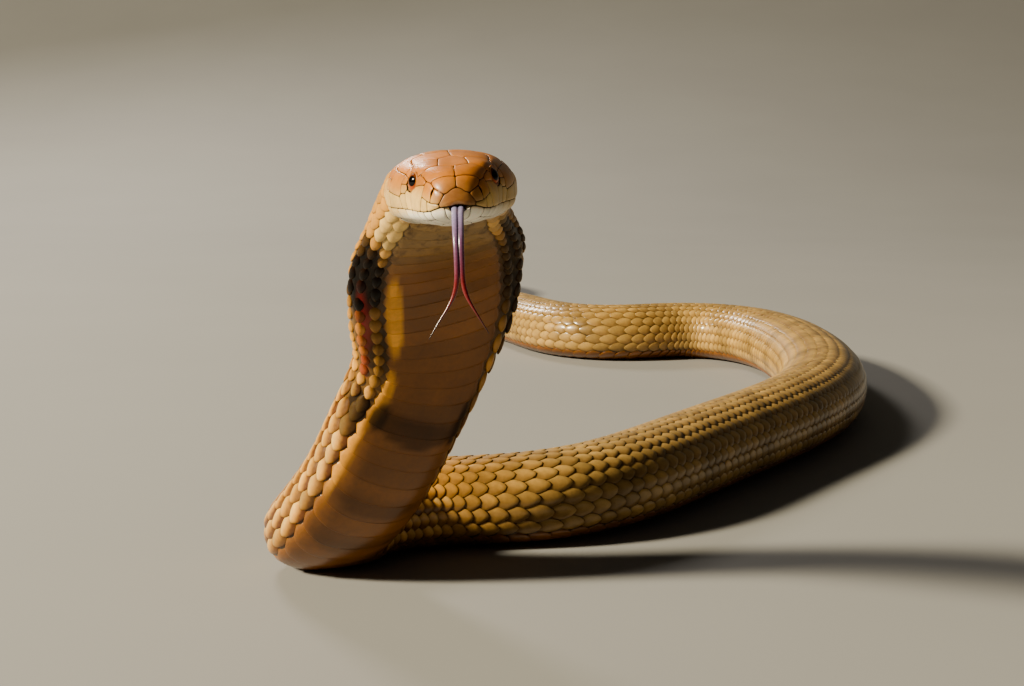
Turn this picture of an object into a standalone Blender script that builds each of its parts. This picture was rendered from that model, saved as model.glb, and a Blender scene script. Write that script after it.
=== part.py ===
"""King cobra at rest with its head raised and its neck spread, life size and still.

Lengths are in metres unless a name ends in _MM. The snake faces -Y, +Z is up and
its belly rests on the floor at z = 0. Distances along the snake run from the back
of the head to the tip of the tail.
"""
import math

import bmesh
import bpy
import numpy as np
from mathutils import Matrix, Vector
from mathutils.bvhtree import BVHTree

MM = 0.001

# How far the route is moved so that its box stands centred over the origin.
ROUTE_SHIFT = Vector((-0.0712, -1.8915, 0.0))

# Clear space between neighbouring parts and how far the belly is pressed flat.
JOINT_GAP = 0.3 * MM
BELLY_SINK = 0.8 * MM

# Fullness of the body's section above and below its widest line.
BACK_FULLNESS = 2.1
BELLY_FULLNESS = 2.6

# Ventral scutes: spacing where the body is raised and where it lies, and the step
# at the rear edge of each one.
SCUTE_PITCH = 10.6 * MM
LYING_PITCH = 25.0 * MM
SCUTE_LIFT = 0.7 * MM
SCUTE_SHARE = 0.90
KEEL_SHARE = 0.6

# Points round the body where it is raised, where it lies and in the tail.
RAISED_SIDES = 24
LYING_SIDES = 20
TAIL_SIDES = 16

# Raised front of the body: x, y, z of the middle, width and depth.
RAISED_ROUTE = (
    (-0.0296, 0.7160, 0.1959, 0.0578, 0.0285),
    (-0.0316, 0.7330, 0.1861, 0.0674, 0.0265),
    (-0.0332, 0.7520, 0.1757, 0.0787, 0.0255),
    (-0.0345, 0.7730, 0.1624, 0.0834, 0.0260),
    (-0.0358, 0.7900, 0.1492, 0.0838, 0.0280),
    (-0.0379, 0.8040, 0.1359, 0.0808, 0.0320),
    (-0.0419, 0.8145, 0.1225, 0.0743, 0.0375),
    (-0.0482, 0.8230, 0.1066, 0.0686, 0.0425),
    (-0.0560, 0.8290, 0.0908, 0.0667, 0.0455),
    (-0.0637, 0.8340, 0.0748, 0.0658, 0.0465),
    (-0.0716, 0.8385, 0.0595, 0.0652, 0.0465),
    (-0.0815, 0.8460, 0.0440, 0.0654, 0.0468),
    (-0.0905, 0.8560, 0.0320, 0.0660, 0.0472),
)

# Where the body lies on the floor: x, y, width and height.
LYING_ROUTE = (
    (-0.0965, 0.8725, 0.0662, 0.0474),
    (-0.0885, 0.8950, 0.0658, 0.0475),
    (-0.0705, 0.9145, 0.0652, 0.0476),
    (-0.0475, 0.9270, 0.0648, 0.0479),
    (-0.0190, 0.9325, 0.0646, 0.0485),
    (0.0090, 0.9380, 0.0646, 0.0495),
    (0.0380, 0.9560, 0.0652, 0.0502),
    (0.0640, 0.9840, 0.0658, 0.0508),
    (0.0880, 1.0200, 0.0664, 0.0512),
    (0.1120, 1.0600, 0.0670, 0.0516),
    (0.1360, 1.1000, 0.0676, 0.0520),
    (0.1615, 1.1420, 0.0682, 0.0524),
    (0.1870, 1.1860, 0.0688, 0.0528),
    (0.2120, 1.2360, 0.0694, 0.0532),
    (0.2340, 1.2920, 0.0700, 0.0536),
    (0.2500, 1.3540, 0.0706, 0.0540),
    (0.2590, 1.4220, 0.0712, 0.0544),
    (0.2620, 1.4920, 0.0716, 0.0548),
    (0.2600, 1.5600, 0.0720, 0.0550),
    (0.2510, 1.6230, 0.0722, 0.0552),
    (0.2310, 1.6760, 0.0724, 0.0553),
    (0.1985, 1.7080, 0.0724, 0.0553),
    (0.1610, 1.7130, 0.0722, 0.0552),
    (0.1270, 1.7030, 0.0720, 0.0550),
    (0.0950, 1.6990, 0.0716, 0.0548),
    (0.0660, 1.7130, 0.0712, 0.0545),
    (0.0430, 1.7440, 0.0706, 0.0541),
    (0.0250, 1.7880, 0.0700, 0.0537),
    (0.0080, 1.8370, 0.0692, 0.0532),
    (-0.0140, 1.8880, 0.0684, 0.0526),
    (-0.0460, 1.9350, 0.0674, 0.0519),
    (-0.0830, 1.9780, 0.0664, 0.0512),
    (-0.1120, 2.0330, 0.0652, 0.0504),
    (-0.1210, 2.1000, 0.0640, 0.0495),
    (-0.1080, 2.1670, 0.0626, 0.0486),
    (-0.0810, 2.2280, 0.0610, 0.0476),
    (-0.0560, 2.2900, 0.0594, 0.0465),
    (-0.0490, 2.3580, 0.0576, 0.0453),
    (-0.0640, 2.4240, 0.0556, 0.0440),
    (-0.0920, 2.4840, 0.0534, 0.0426),
    (-0.1190, 2.5440, 0.0510, 0.0410),
    (-0.1310, 2.6100, 0.0482, 0.0392),
    (-0.1240, 2.6780, 0.0450, 0.0371),
    (-0.1020, 2.7400, 0.0412, 0.0345),
    (-0.0780, 2.8000, 0.0366, 0.0312),
    (-0.0660, 2.8640, 0.0316, 0.0275),
    (-0.0740, 2.9290, 0.0266, 0.0236),
    (-0.0970, 2.9880, 0.0216, 0.0196),
    (-0.1200, 3.0460, 0.0168, 0.0156),
    (-0.1310, 3.1060, 0.0120, 0.0114),
    (-0.1300, 3.1660, 0.0060, 0.0060),
)

# Bearing of the belly's open side round +Z, from the head down to the floor:
# distance along the route and degrees.
RAISED_HEADING = (
    (0.000, 278.0),
    (0.030, 288.0),
    (0.060, 297.0),
    (0.100, 300.0),
    (0.140, 299.0),
    (0.180, 296.0),
    (0.240, 292.0),
    (0.300, 287.0),
    (0.330, 282.0),
)
LIE_START = 0.296
LIE_END = 0.336

# Names of the lengths of the body and where each one ends.
LENGTHS = (
    ("hood_upper", 0.085, RAISED_SIDES, True),
    ("hood_lower", 0.165, RAISED_SIDES, True),
    ("raised_body", 0.262, RAISED_SIDES, True),
    ("base_bend", 0.345, RAISED_SIDES, True),
    ("near_body", 0.480, LYING_SIDES, False),
    ("outward_body", 0.720, LYING_SIDES, False),
    ("turn_front", 0.910, LYING_SIDES, False),
    ("turn_back", 1.090, LYING_SIDES, False),
    ("far_body", 1.270, LYING_SIDES, False),
    ("rear_bend_a", 1.470, LYING_SIDES, False),
    ("rear_bend_b", 1.680, LYING_SIDES, False),
    ("rear_bend_c", 1.900, LYING_SIDES, False),
    ("rear_bend_d", 2.120, LYING_SIDES, False),
    ("vent_length", 2.330, LYING_SIDES, False),
    ("tail_root", 2.520, TAIL_SIDES, False),
    ("tail_middle", 2.700, TAIL_SIDES, False),
    ("tail_tip", 9.0, TAIL_SIDES, False),
)

# Head: where the middle of the mouth's front edge is and how the head is turned.
MOUTH_POINT = Vector((-0.0203, 0.6390, 0.1993))
HEAD_YAW = math.radians(4.9)
HEAD_PITCH = math.radians(4.5)
HEAD_ROLL = math.radians(4.0)

# Head rings, in millimetres in the head's own axes: distance behind the snout,
# half width, top, mouth line, underside and fullness of the upper section.
HEAD_RINGS_MM = (
    (0.3, 4.4, 3.6, 0.2, -2.6, 2.20),
    (1.2, 6.8, 6.8, 0.0, -3.9, 2.30),
    (2.6, 8.7, 9.2, -0.6, -4.9, 2.35),
    (4.6, 10.5, 11.2, -1.4, -5.9, 2.45),
    (7.5, 12.4, 12.7, -1.9, -6.9, 2.60),
    (11.5, 14.6, 13.9, -2.1, -7.9, 2.80),
    (16.5, 16.4, 14.8, -2.2, -8.9, 3.10),
    (21.5, 17.8, 15.4, -2.4, -9.7, 3.20),
    (28.0, 20.2, 15.9, -2.7, -10.6, 3.00),
    (35.0, 22.9, 16.2, -3.1, -11.4, 2.80),
    (43.0, 25.2, 16.3, -3.5, -12.2, 2.70),
    (50.0, 26.3, 16.0, -3.3, -12.8, 2.60),
    (56.0, 26.6, 15.6, -2.9, -13.3, 2.50),
    (62.0, 26.6, 15.1, -2.5, -13.8, 2.40),
)
HEAD_LENGTH_MM = 62.0
JAW_FULLNESS = 2.2
JAW_INSET_MM = 0.5
BLEND_START_MM = 48.0
TOP_POINTS = 17
JAW_POINTS = 13

# Eyes: middle of the ball from the snout, sideways and up, and its radius.
EYE_CENTRE_MM = (21.0, 13.4, 8.1)
EYE_RADIUS_MM = 4.1
SOCKET_RADIUS_MM = 4.4
EYE_SEGMENTS = 20
EYE_RINGS = 12

# Tongue: half width and half thickness at its root, at the fork and at the tips.
TONGUE_HALF_MM = (2.3, 0.9)
FORK_HALF_MM = (1.7, 0.8)
TINE_HALF_MM = (0.9, 0.6)
TIP_HALF_MM = (0.3, 0.25)
NOTCH_HALF_MM = (2.9, 1.3)
TONGUE_LEVEL_MM = -0.6
NOTCH_DEPTH_MM = 8.0
TONGUE_ROOT_MM = 7.6
TONGUE_ROUTE = (
    (-0.0202, 0.6335, 0.1976),
    (-0.0200, 0.6280, 0.1948),
    (-0.0197, 0.6225, 0.1892),
    (-0.0193, 0.6198, 0.1812),
    (-0.0190, 0.6190, 0.1732),
)
TINE_RIGHT = (
    (-0.0198, 0.6189, 0.1745),
    (-0.0208, 0.6187, 0.1690),
    (-0.0243, 0.6181, 0.1620),
    (-0.0276, 0.6176, 0.1568),
    (-0.0304, 0.6172, 0.1519),
)
TINE_LEFT = (
    (-0.0183, 0.6189, 0.1745),
    (-0.0172, 0.6187, 0.1695),
    (-0.0139, 0.6181, 0.1630),
    (-0.0109, 0.6176, 0.1582),
    (-0.0084, 0.6172, 0.1541),
)

# Nostrils: middle, half length up and down, and half depth and width.
NOSTRIL_MM = (4.5, 8.9, 5.8)
NOSTRIL_HALF_MM = (1.9, 1.0)

# Head plates: how far each one stands up, how deep its root goes, half the seam
# between two plates and the longest stretch of an edge left straight.
PLATE_RISE_MM = 0.45
PLATE_ROOT_MM = 0.9
SEAM_HALF_MM = 0.32
EDGE_STEP_MM = 5.5
WIDE_PLATE_MM = 4.2

# Plates of the upper head. Each has the side it is laid out on, whether it has a
# twin, and its corners: front (side, up), top (behind, side), side (behind, up).
UPPER_PLATES_MM = (
    ("front", False, ((-4.2, 5.2), (0.0, 7.2), (4.2, 5.2), (6.3, 1.7), (6.0, 0.7), (3.2, 1.1),
                      (0.0, 1.5), (-3.2, 1.1), (-6.0, 0.7), (-6.3, 1.7))),
    ("front", True, ((0.0, 7.2), (4.2, 5.2), (8.2, 6.9), (8.9, 9.0), (5.6, 11.0), (0.0, 11.5))),
    ("front", True, ((4.2, 5.2), (6.4, 1.8), (9.2, 2.1), (9.3, 5.8), (8.2, 6.9))),
    ("front", True, ((6.4, 1.8), (6.2, 0.5), (9.6, -0.7), (9.8, 2.1))),
    ("side", True, ((5.6, 2.4), (5.4, 7.2), (8.3, 9.4), (12.2, 9.8), (12.4, 4.2), (10.2, 2.9))),
    ("top", True, ((5.6, 0.0), (6.4, 5.6), (7.8, 9.3), (12.0, 11.9), (16.2, 10.6), (15.9, 5.9),
                   (13.7, 0.0))),
    ("top", False, ((13.7, 0.0), (15.9, 5.9), (26.6, 5.2), (32.0, 0.0), (26.6, -5.2),
                    (15.9, -5.9))),
    ("top", True, ((15.9, 5.9), (16.2, 10.6), (20.5, 12.8), (24.5, 13.9), (28.6, 14.7),
                   (28.8, 9.8), (26.6, 5.2))),
    ("top", True, ((32.0, 0.0), (26.6, 5.2), (28.8, 9.8), (29.3, 14.7), (36.0, 16.0),
                   (43.0, 16.5), (49.0, 12.5), (50.5, 6.0), (49.0, 0.0))),
    ("top", True, ((49.0, 0.0), (50.5, 6.0), (49.0, 12.5), (54.5, 13.0), (59.0, 8.5),
                   (60.5, 0.0))),
    ("side", True, ((12.4, 4.4), (17.0, 4.8), (17.2, 8.5), (17.6, 11.6), (15.8, 11.8),
                    (12.2, 9.8))),
    ("side", True, ((5.6, 2.2), (5.8, -0.9), (10.0, -1.3), (10.2, 2.7))),
    ("side", True, ((10.2, 2.9), (10.0, -1.4), (16.4, -1.6), (17.2, 4.6), (12.4, 4.2))),
    ("side", True, ((16.4, -1.6), (23.1, -1.9), (23.6, 3.8), (20.6, 4.4), (17.2, 4.6))),
    ("side", True, ((23.1, -1.9), (30.2, -2.2), (29.2, 1.6), (26.2, 3.4), (23.6, 3.8))),
    ("side", True, ((30.2, -2.2), (39.2, -2.7), (39.8, 2.6), (29.2, 1.6))),
    ("side", True, ((39.2, -2.7), (49.6, -2.7), (49.0, 3.2), (39.8, 2.6))),
    ("side", True, ((24.3, 4.3), (26.4, 3.8), (29.0, 2.0), (29.3, 6.4), (25.2, 6.8))),
    ("side", True, ((25.2, 6.8), (29.3, 6.4), (29.6, 10.0), (25.2, 10.1))),
    ("side", True, ((25.2, 10.1), (29.6, 10.0), (29.4, 13.0), (24.4, 12.6))),
    ("side", True, ((29.1, 1.8), (39.9, 2.8), (40.4, 8.4), (29.6, 9.4))),
    ("side", True, ((29.6, 9.6), (40.4, 8.6), (41.0, 12.2), (29.5, 12.4))),
    ("side", True, ((39.9, 2.8), (49.0, 3.4), (49.9, 8.0), (40.4, 8.4))),
    ("side", True, ((40.4, 8.6), (49.9, 8.2), (49.4, 11.6), (41.0, 12.2))),
    ("side", True, ((49.8, -2.4), (55.2, -2.2), (55.4, 3.2), (49.2, 3.2))),
    ("side", True, ((49.2, 3.4), (55.4, 3.4), (55.6, 8.2), (50.1, 8.1))),
)

# Plates of the lower jaw, the same way, with under (behind, side) as well.
LOWER_PLATES_MM = (
    ("front", False, ((-3.6, -2.4), (3.6, -2.4), (2.2, -4.2), (-2.2, -4.2))),
    ("side", True, ((3.4, -2.0), (7.4, -2.9), (7.6, -5.0), (4.4, -4.2))),
    ("side", True, ((7.4, -2.9), (12.4, -3.2), (12.6, -6.0), (7.6, -5.0))),
    ("side", True, ((12.4, -3.2), (18.6, -3.4), (18.8, -6.8), (12.6, -6.0))),
    ("side", True, ((18.6, -3.4), (25.8, -3.6), (26.0, -7.4), (18.8, -6.8))),
    ("side", True, ((25.8, -3.6), (33.6, -4.0), (33.8, -7.8), (26.0, -7.4))),
    ("side", True, ((33.6, -4.0), (42.0, -4.3), (42.2, -8.0), (33.8, -7.8))),
    ("under", True, ((5.6, 0.0), (5.6, 3.2), (16.4, 6.0), (17.4, 0.0))),
    ("under", True, ((17.4, 0.0), (16.4, 6.0), (26.4, 6.6), (28.4, 0.6))),
)

MATERIALS = {
    "hide": ((0.33, 0.22, 0.08, 1.0), 0.38),
    "eye": ((0.16, 0.05, 0.015, 1.0), 0.06),
    "tongue": ((0.20, 0.05, 0.10, 1.0), 0.30),
}


class Spline:
    """A natural cubic spline through rows of values."""

    def __init__(self, knots, rows):
        self.knots = np.asarray(knots, dtype=float)
        self.rows = np.asarray(rows, dtype=float)
        count = len(self.knots)
        step = np.diff(self.knots)
        matrix = np.eye(count)
        right = np.zeros_like(self.rows)
        for i in range(1, count - 1):
            matrix[i, i - 1] = step[i - 1]
            matrix[i, i] = 2.0 * (step[i - 1] + step[i])
            matrix[i, i + 1] = step[i]
            after = (self.rows[i + 1] - self.rows[i]) / step[i]
            before = (self.rows[i] - self.rows[i - 1]) / step[i - 1]
            right[i] = 6.0 * (after - before)
        self.bends = np.linalg.solve(matrix, right)

    def at(self, value):
        """Row of values at one knot value."""
        place = np.searchsorted(self.knots, value) - 1
        place = int(min(max(place, 0), len(self.knots) - 2))
        low = self.knots[place]
        high = self.knots[place + 1]
        span = high - low
        left = (high - value) / span
        right = (value - low) / span
        curve = (left**3 - left) * self.bends[place]
        curve = curve + (right**3 - right) * self.bends[place + 1]
        line = left * self.rows[place] + right * self.rows[place + 1]
        return line + curve * span * span / 6.0


def smooth_step(value, low, high):
    """0 below low, 1 above high and a soft ramp between."""
    ratio = min(max((value - low) / (high - low), 0.0), 1.0)
    return ratio * ratio * (3.0 - 2.0 * ratio)


class HeadFrame:
    """Axes of the head: forward, left and up from the mouth's front edge."""

    def __init__(self):
        flat = math.cos(HEAD_PITCH)
        self.forward = Vector(
            (math.sin(HEAD_YAW) * flat, -math.cos(HEAD_YAW) * flat, -math.sin(HEAD_PITCH))
        )
        level = Vector((0.0, 0.0, 1.0)).cross(self.forward).normalized()
        upright = self.forward.cross(level).normalized()
        self.left = level * math.cos(HEAD_ROLL) + upright * math.sin(HEAD_ROLL)
        self.up = self.forward.cross(self.left).normalized()
        self.origin = MOUTH_POINT + ROUTE_SHIFT

    def point(self, behind_mm, side_mm, up_mm):
        """World point from millimetres behind the snout, to the left and up."""
        place = self.origin - self.forward * (behind_mm * MM)
        return place + self.left * (side_mm * MM) + self.up * (up_mm * MM)


class Route:
    """The middle line of the body with its width, height and cross axes."""

    def __init__(self, head):
        rows = []
        for behind_mm in (BLEND_START_MM, HEAD_LENGTH_MM):
            ring = head_row(behind_mm)
            middle = 0.5 * (ring[1] + ring[3])
            place = head.point(behind_mm, 0.0, middle) - ROUTE_SHIFT
            rows.append((*place, 2.0 * ring[0] * MM, (ring[1] - ring[3]) * MM))
        rows.extend(RAISED_ROUTE)
        for x, y, width, height in LYING_ROUTE:
            rows.append((x, y, 0.5 * height - BELLY_SINK, width, height))
        rows = np.array(rows)
        chords = np.linalg.norm(np.diff(rows[:, :3], axis=0), axis=1)
        knots = np.concatenate(([0.0], np.cumsum(chords)))
        self.spline = Spline(knots, rows)
        self.measure(knots[-1])
        self.set_headings()

    def measure(self, last):
        """Tables of knot value against true length along the line."""
        self.steps = np.linspace(0.0, last, 6001)
        places = np.array([self.spline.at(value)[:3] for value in self.steps])
        lengths = np.linalg.norm(np.diff(places, axis=0), axis=1)
        self.along = np.concatenate(([0.0], np.cumsum(lengths)))
        self.length = float(self.along[-1])

    def row(self, distance):
        """Position, width and height at a distance along the body."""
        value = np.interp(distance, self.along, self.steps)
        row = self.spline.at(value)
        lying = smooth_step(distance, LIE_START, LIE_END)
        level = 0.5 * row[4] - BELLY_SINK
        row[2] = row[2] * (1.0 - lying) + level * lying
        return row

    def middle(self, distance):
        """World point of the middle line."""
        return Vector(self.row(distance)[:3]) + ROUTE_SHIFT

    def tangent(self, distance):
        """Direction of the line toward the tail."""
        low = max(distance - 0.5 * MM, 0.0)
        high = min(distance + 0.5 * MM, self.length)
        return (self.middle(high) - self.middle(low)).normalized()

    def set_headings(self):
        """Bearing of the way the body points, all along it."""
        self.marks = np.linspace(0.0, self.length, 1201)
        bearings = []
        for mark in self.marks:
            way = -self.tangent(mark)
            bearings.append(math.atan2(way.y, way.x))
        bearings = np.degrees(np.unwrap(bearings))
        reference = np.interp(LIE_END, self.marks, bearings)
        bearings = bearings + 360.0 * round((270.0 - reference) / 360.0)
        table = np.array(RAISED_HEADING)
        self.headings = []
        for mark, bearing in zip(self.marks, bearings):
            raised = np.interp(mark, table[:, 0], table[:, 1])
            lying = smooth_step(mark, LIE_START, LIE_END)
            self.headings.append(raised * (1.0 - lying) + bearing * lying)

    def axes(self, distance):
        """The right side and the back of the body at a distance along it."""
        way = -self.tangent(distance)
        bearing = math.radians(float(np.interp(distance, self.marks, self.headings)))
        side = Vector((math.sin(bearing), -math.cos(bearing), 0.0))
        side = (side - way * side.dot(way)).normalized()
        return side, side.cross(way).normalized()


def head_row(behind_mm):
    """Half width, top, mouth line, underside and fullness behind the snout."""
    table = np.array(HEAD_RINGS_MM)
    return np.array([np.interp(behind_mm, table[:, 0], table[:, k]) for k in range(1, 6)])


def body_outline(half_width, half_height, angle):
    """Point of the body's section at an angle from the back, the right side first."""
    up = math.cos(angle)
    side = math.sin(angle)
    power = BACK_FULLNESS if up >= 0.0 else BELLY_FULLNESS
    reach = (abs(up) ** power + abs(side) ** power) ** (-1.0 / power)
    return side * reach * half_width, up * reach * half_height


def head_outline(row, angle):
    """Reach of the head's section from its middle at an angle from the top."""
    half_width, top, mouth, under, fullness = row
    middle = 0.5 * (top + under)
    side = math.sin(angle)
    up = math.cos(angle)
    low = 0.0
    high = 60.0
    for _ in range(40):
        reach = 0.5 * (low + high)
        x = abs(side) * reach
        z = middle + up * reach
        if z >= mouth:
            size = (x / half_width) ** fullness
            size += abs((z - mouth) / (top - mouth)) ** fullness
        else:
            size = (x / (half_width - JAW_INSET_MM)) ** JAW_FULLNESS
            size += abs((z - mouth) / (mouth - under)) ** JAW_FULLNESS
        if size > 1.0:
            high = reach
        else:
            low = reach
    return low


def head_section_point(behind_mm, angle):
    """Sideways and upward millimetres of the head's surface at an angle."""
    row = head_row(behind_mm)
    reach = head_outline(row, angle)
    middle = 0.5 * (row[1] + row[3])
    side, up = math.sin(angle) * reach, math.cos(angle) * reach
    share = smooth_step(behind_mm, BLEND_START_MM, HEAD_LENGTH_MM)
    neck_side, neck_up = body_reach(row[0], 0.5 * (row[1] - row[3]), angle)
    side = side * (1.0 - share) + neck_side * share
    up = up * (1.0 - share) + neck_up * share
    return side, up, middle


def body_reach(half_width, half_height, angle):
    """Point where a ray at a true angle meets the neck's section."""
    up = math.cos(angle)
    side = math.sin(angle)
    power = BACK_FULLNESS if up >= 0.0 else BELLY_FULLNESS
    size = (abs(side) / half_width) ** power + (abs(up) / half_height) ** power
    reach = size ** (-1.0 / power)
    return side * reach, up * reach


def mouth_angle(behind_mm):
    """Angle from the top at which the mouth line lies on the section."""
    row = head_row(behind_mm)
    middle = 0.5 * (row[1] + row[3])
    drop = middle - row[2]
    return math.atan2(row[0] - 0.5 * JAW_INSET_MM, -drop)


def new_object(name, mesh_builder, slot):
    """Make an object from a bmesh and give it its material."""
    mesh = bpy.data.meshes.new(name)
    mesh_builder.to_mesh(mesh)
    mesh_builder.free()
    made = bpy.data.objects.new(name, mesh)
    bpy.context.scene.collection.objects.link(made)
    made.data.materials.append(material(slot))
    return made


def material(slot):
    """The Principled material of one slot."""
    found = bpy.data.materials.get(slot)
    if found:
        return found
    colour, roughness = MATERIALS[slot]
    made = bpy.data.materials.new(slot)
    made.use_nodes = True
    shader = made.node_tree.nodes["Principled BSDF"]
    shader.inputs["Base Color"].default_value = colour
    shader.inputs["Roughness"].default_value = roughness
    return made


def loft(rings):
    """Closed skin over rings of points, with a flat face at each end."""
    builder = bmesh.new()
    made = [[builder.verts.new(point) for point in ring] for ring in rings]
    for first, second in zip(made, made[1:]):
        count = len(first)
        for i in range(count):
            j = (i + 1) % count
            builder.faces.new((first[i], first[j], second[j], second[i]))
    builder.faces.new(list(reversed(made[0])))
    builder.faces.new(made[-1])
    bmesh.ops.recalc_face_normals(builder, faces=builder.faces)
    return builder


def smooth(made):
    """Round shading on every face but the flat ends."""
    for face in made.data.polygons:
        face.use_smooth = len(face.vertices) <= 4
    return made


def scute_weight(index, sides):
    """How much of the scute step a point of the ring takes."""
    from_belly = abs(index - sides // 2) * 360.0 / sides
    if from_belly > 50.0:
        return 0.0
    return KEEL_SHARE if from_belly > 40.0 else 1.0


def body_ring(route, distance, sides, lift):
    """Points round the body at a distance along it."""
    row = route.row(distance)
    centre = Vector(row[:3]) + ROUTE_SHIFT
    right, back = route.axes(distance)
    ring = []
    for i in range(sides):
        angle = 2.0 * math.pi * i / sides
        x, z = body_outline(0.5 * row[3], 0.5 * row[4], angle)
        out = Vector((x, z)).normalized()
        step = lift * scute_weight(i, sides)
        point = centre + right * (x + out.x * step) + back * (z + out.y * step)
        point.z = max(point.z, 0.0)
        ring.append(point)
    return ring


def body_length(route, name, start, end, sides, raised):
    """One length of the body with its ventral scutes stepped in its own surface."""
    first = start + 0.5 * JOINT_GAP
    last = end - 0.5 * JOINT_GAP
    pitch = SCUTE_PITCH if raised else LYING_PITCH
    count = max(2, round((last - first) / pitch))
    step = (last - first) / count
    rings = []
    for i in range(count):
        begin = first + i * step
        rings.append(body_ring(route, begin, sides, 0.0))
        finish = begin + step * (1.0 if i == count - 1 else SCUTE_SHARE)
        rings.append(body_ring(route, finish, sides, SCUTE_LIFT))
    return smooth(new_object(name, loft(rings), "hide"))


def head_ring_frame(head, route, behind_mm):
    """Centre, left side and top direction of a head ring."""
    row = head_row(behind_mm)
    middle = 0.5 * (row[1] + row[3])
    if behind_mm <= BLEND_START_MM:
        return head.point(behind_mm, 0.0, middle), head.left, head.up
    distance = (behind_mm - BLEND_START_MM) * MM
    limit = head_end(route) - 0.5 * JOINT_GAP
    distance = min(distance, limit)
    right, back = route.axes(distance)
    share = smooth_step(behind_mm, BLEND_START_MM, HEAD_LENGTH_MM)
    left = head.left.lerp(-right, share).normalized()
    top = head.up.lerp(back, share).normalized()
    return route.middle(distance), left, top


def head_end(_route):
    """Distance along the route at which the head stops and the neck begins."""
    return (HEAD_LENGTH_MM - BLEND_START_MM) * MM


def head_part_rings(head, route, upper):
    """Rings of the upper head, or of the lower jaw, with a flat side at the mouth."""
    rings = []
    for table_row in HEAD_RINGS_MM:
        behind_mm = table_row[0]
        centre, left, top = head_ring_frame(head, route, behind_mm)
        edge = mouth_angle(behind_mm)
        count = TOP_POINTS if upper else JAW_POINTS
        ring = []
        for i in range(count):
            share = 2.0 * i / (count - 1) - 1.0
            angle = share * edge if upper else math.pi + share * (math.pi - edge)
            side, up, _ = head_section_point(behind_mm, angle)
            shift = 0.0
            if not upper and abs(share) > 0.99:
                shift = -JOINT_GAP / MM
            ring.append(centre + left * (side * MM) + top * ((up + shift) * MM))
        rings.append(ring)
    return rings


def boolean(made, other, operation):
    """Apply one Boolean with another object and remove that object."""
    change = made.modifiers.new("cut", "BOOLEAN")
    change.operation = operation
    change.solver = "EXACT"
    change.object = other
    apply_modifiers(made)
    bpy.data.objects.remove(other, do_unlink=True)
    return made


def union_all(made, pieces, name):
    """Join closed pieces to an object in one Boolean over a collection."""
    group = bpy.data.collections.new(name)
    bpy.context.scene.collection.children.link(group)
    for piece in pieces:
        for holder in list(piece.users_collection):
            holder.objects.unlink(piece)
        group.objects.link(piece)
    change = made.modifiers.new("join", "BOOLEAN")
    change.operation = "UNION"
    change.solver = "EXACT"
    change.operand_type = "COLLECTION"
    change.collection = group
    apply_modifiers(made)
    for piece in pieces:
        bpy.data.objects.remove(piece, do_unlink=True)
    bpy.data.collections.remove(group)
    return made


def apply_modifiers(made):
    """Replace the mesh by its evaluated form and clear the modifiers."""
    graph = bpy.context.evaluated_depsgraph_get()
    graph.update()
    mesh = bpy.data.meshes.new_from_object(made.evaluated_get(graph))
    made.modifiers.clear()
    made.data = mesh
    keep_largest(made)


def keep_largest(made):
    """Keep the largest closed surface of the mesh and drop stray ones."""
    builder = bmesh.new()
    builder.from_mesh(made.data)
    bmesh.ops.remove_doubles(builder, verts=builder.verts, dist=0.01 * MM)
    left = set(builder.faces)
    shells = []
    while left:
        seed = left.pop()
        shell = {seed}
        open_faces = [seed]
        while open_faces:
            face = open_faces.pop()
            for edge in face.edges:
                for other in edge.link_faces:
                    if other not in shell:
                        shell.add(other)
                        open_faces.append(other)
        left -= shell
        shells.append(shell)
    shells.sort(key=len, reverse=True)
    for shell in shells[1:]:
        bmesh.ops.delete(builder, geom=list(shell), context="FACES")
    builder.to_mesh(made.data)
    builder.free()


def ball(name, centre, radius, slot, head):
    """A closed ball with its poles along the head's left axis."""
    builder = bmesh.new()
    bmesh.ops.create_uvsphere(
        builder, u_segments=EYE_SEGMENTS, v_segments=EYE_RINGS, radius=radius
    )
    turn = Matrix((head.up, head.forward, head.left)).transposed().to_4x4()
    bmesh.ops.transform(builder, matrix=Matrix.Translation(centre) @ turn, verts=builder.verts)
    return smooth(new_object(name, builder, slot))


def tube_rings(points, halves, side, sides=8):
    """Rings of a flattened tube along a path, with half sizes at its two ends."""
    rings = []
    last = len(points) - 1
    for i, point in enumerate(points):
        low = points[max(i - 1, 0)]
        high = points[min(i + 1, last)]
        way = (high - low).normalized()
        across = (side - way * side.dot(way)).normalized()
        depth = way.cross(across).normalized()
        share = i / last
        wide = (halves[0][0] * (1.0 - share) + halves[1][0] * share) * MM
        thick = (halves[0][1] * (1.0 - share) + halves[1][1] * share) * MM
        ring = []
        for k in range(sides):
            angle = 2.0 * math.pi * (k + 0.5) / sides
            ring.append(point + across * (math.cos(angle) * wide) + depth * (math.sin(angle) * thick))
        rings.append(ring)
    return rings


def make_tongue(head):
    """The forked tongue, from inside the mouth to its two tips."""
    root = head.point(TONGUE_ROOT_MM, 0.0, TONGUE_LEVEL_MM)
    lip = head.point(1.0, 0.0, TONGUE_LEVEL_MM)
    path = [root, lip] + [Vector(p) + ROUTE_SHIFT for p in TONGUE_ROUTE]
    body = new_object("tongue", loft(tube_rings(path, (TONGUE_HALF_MM, FORK_HALF_MM), head.left)), "tongue")
    tines = []
    for name, line in (("tine_right", TINE_RIGHT), ("tine_left", TINE_LEFT)):
        points = [Vector(p) + ROUTE_SHIFT for p in line]
        rings = tube_rings(points, (TINE_HALF_MM, TIP_HALF_MM), head.left)
        tines.append(new_object(name, loft(rings), "tongue"))
    return smooth(union_all(body, tines, "tines"))


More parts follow.
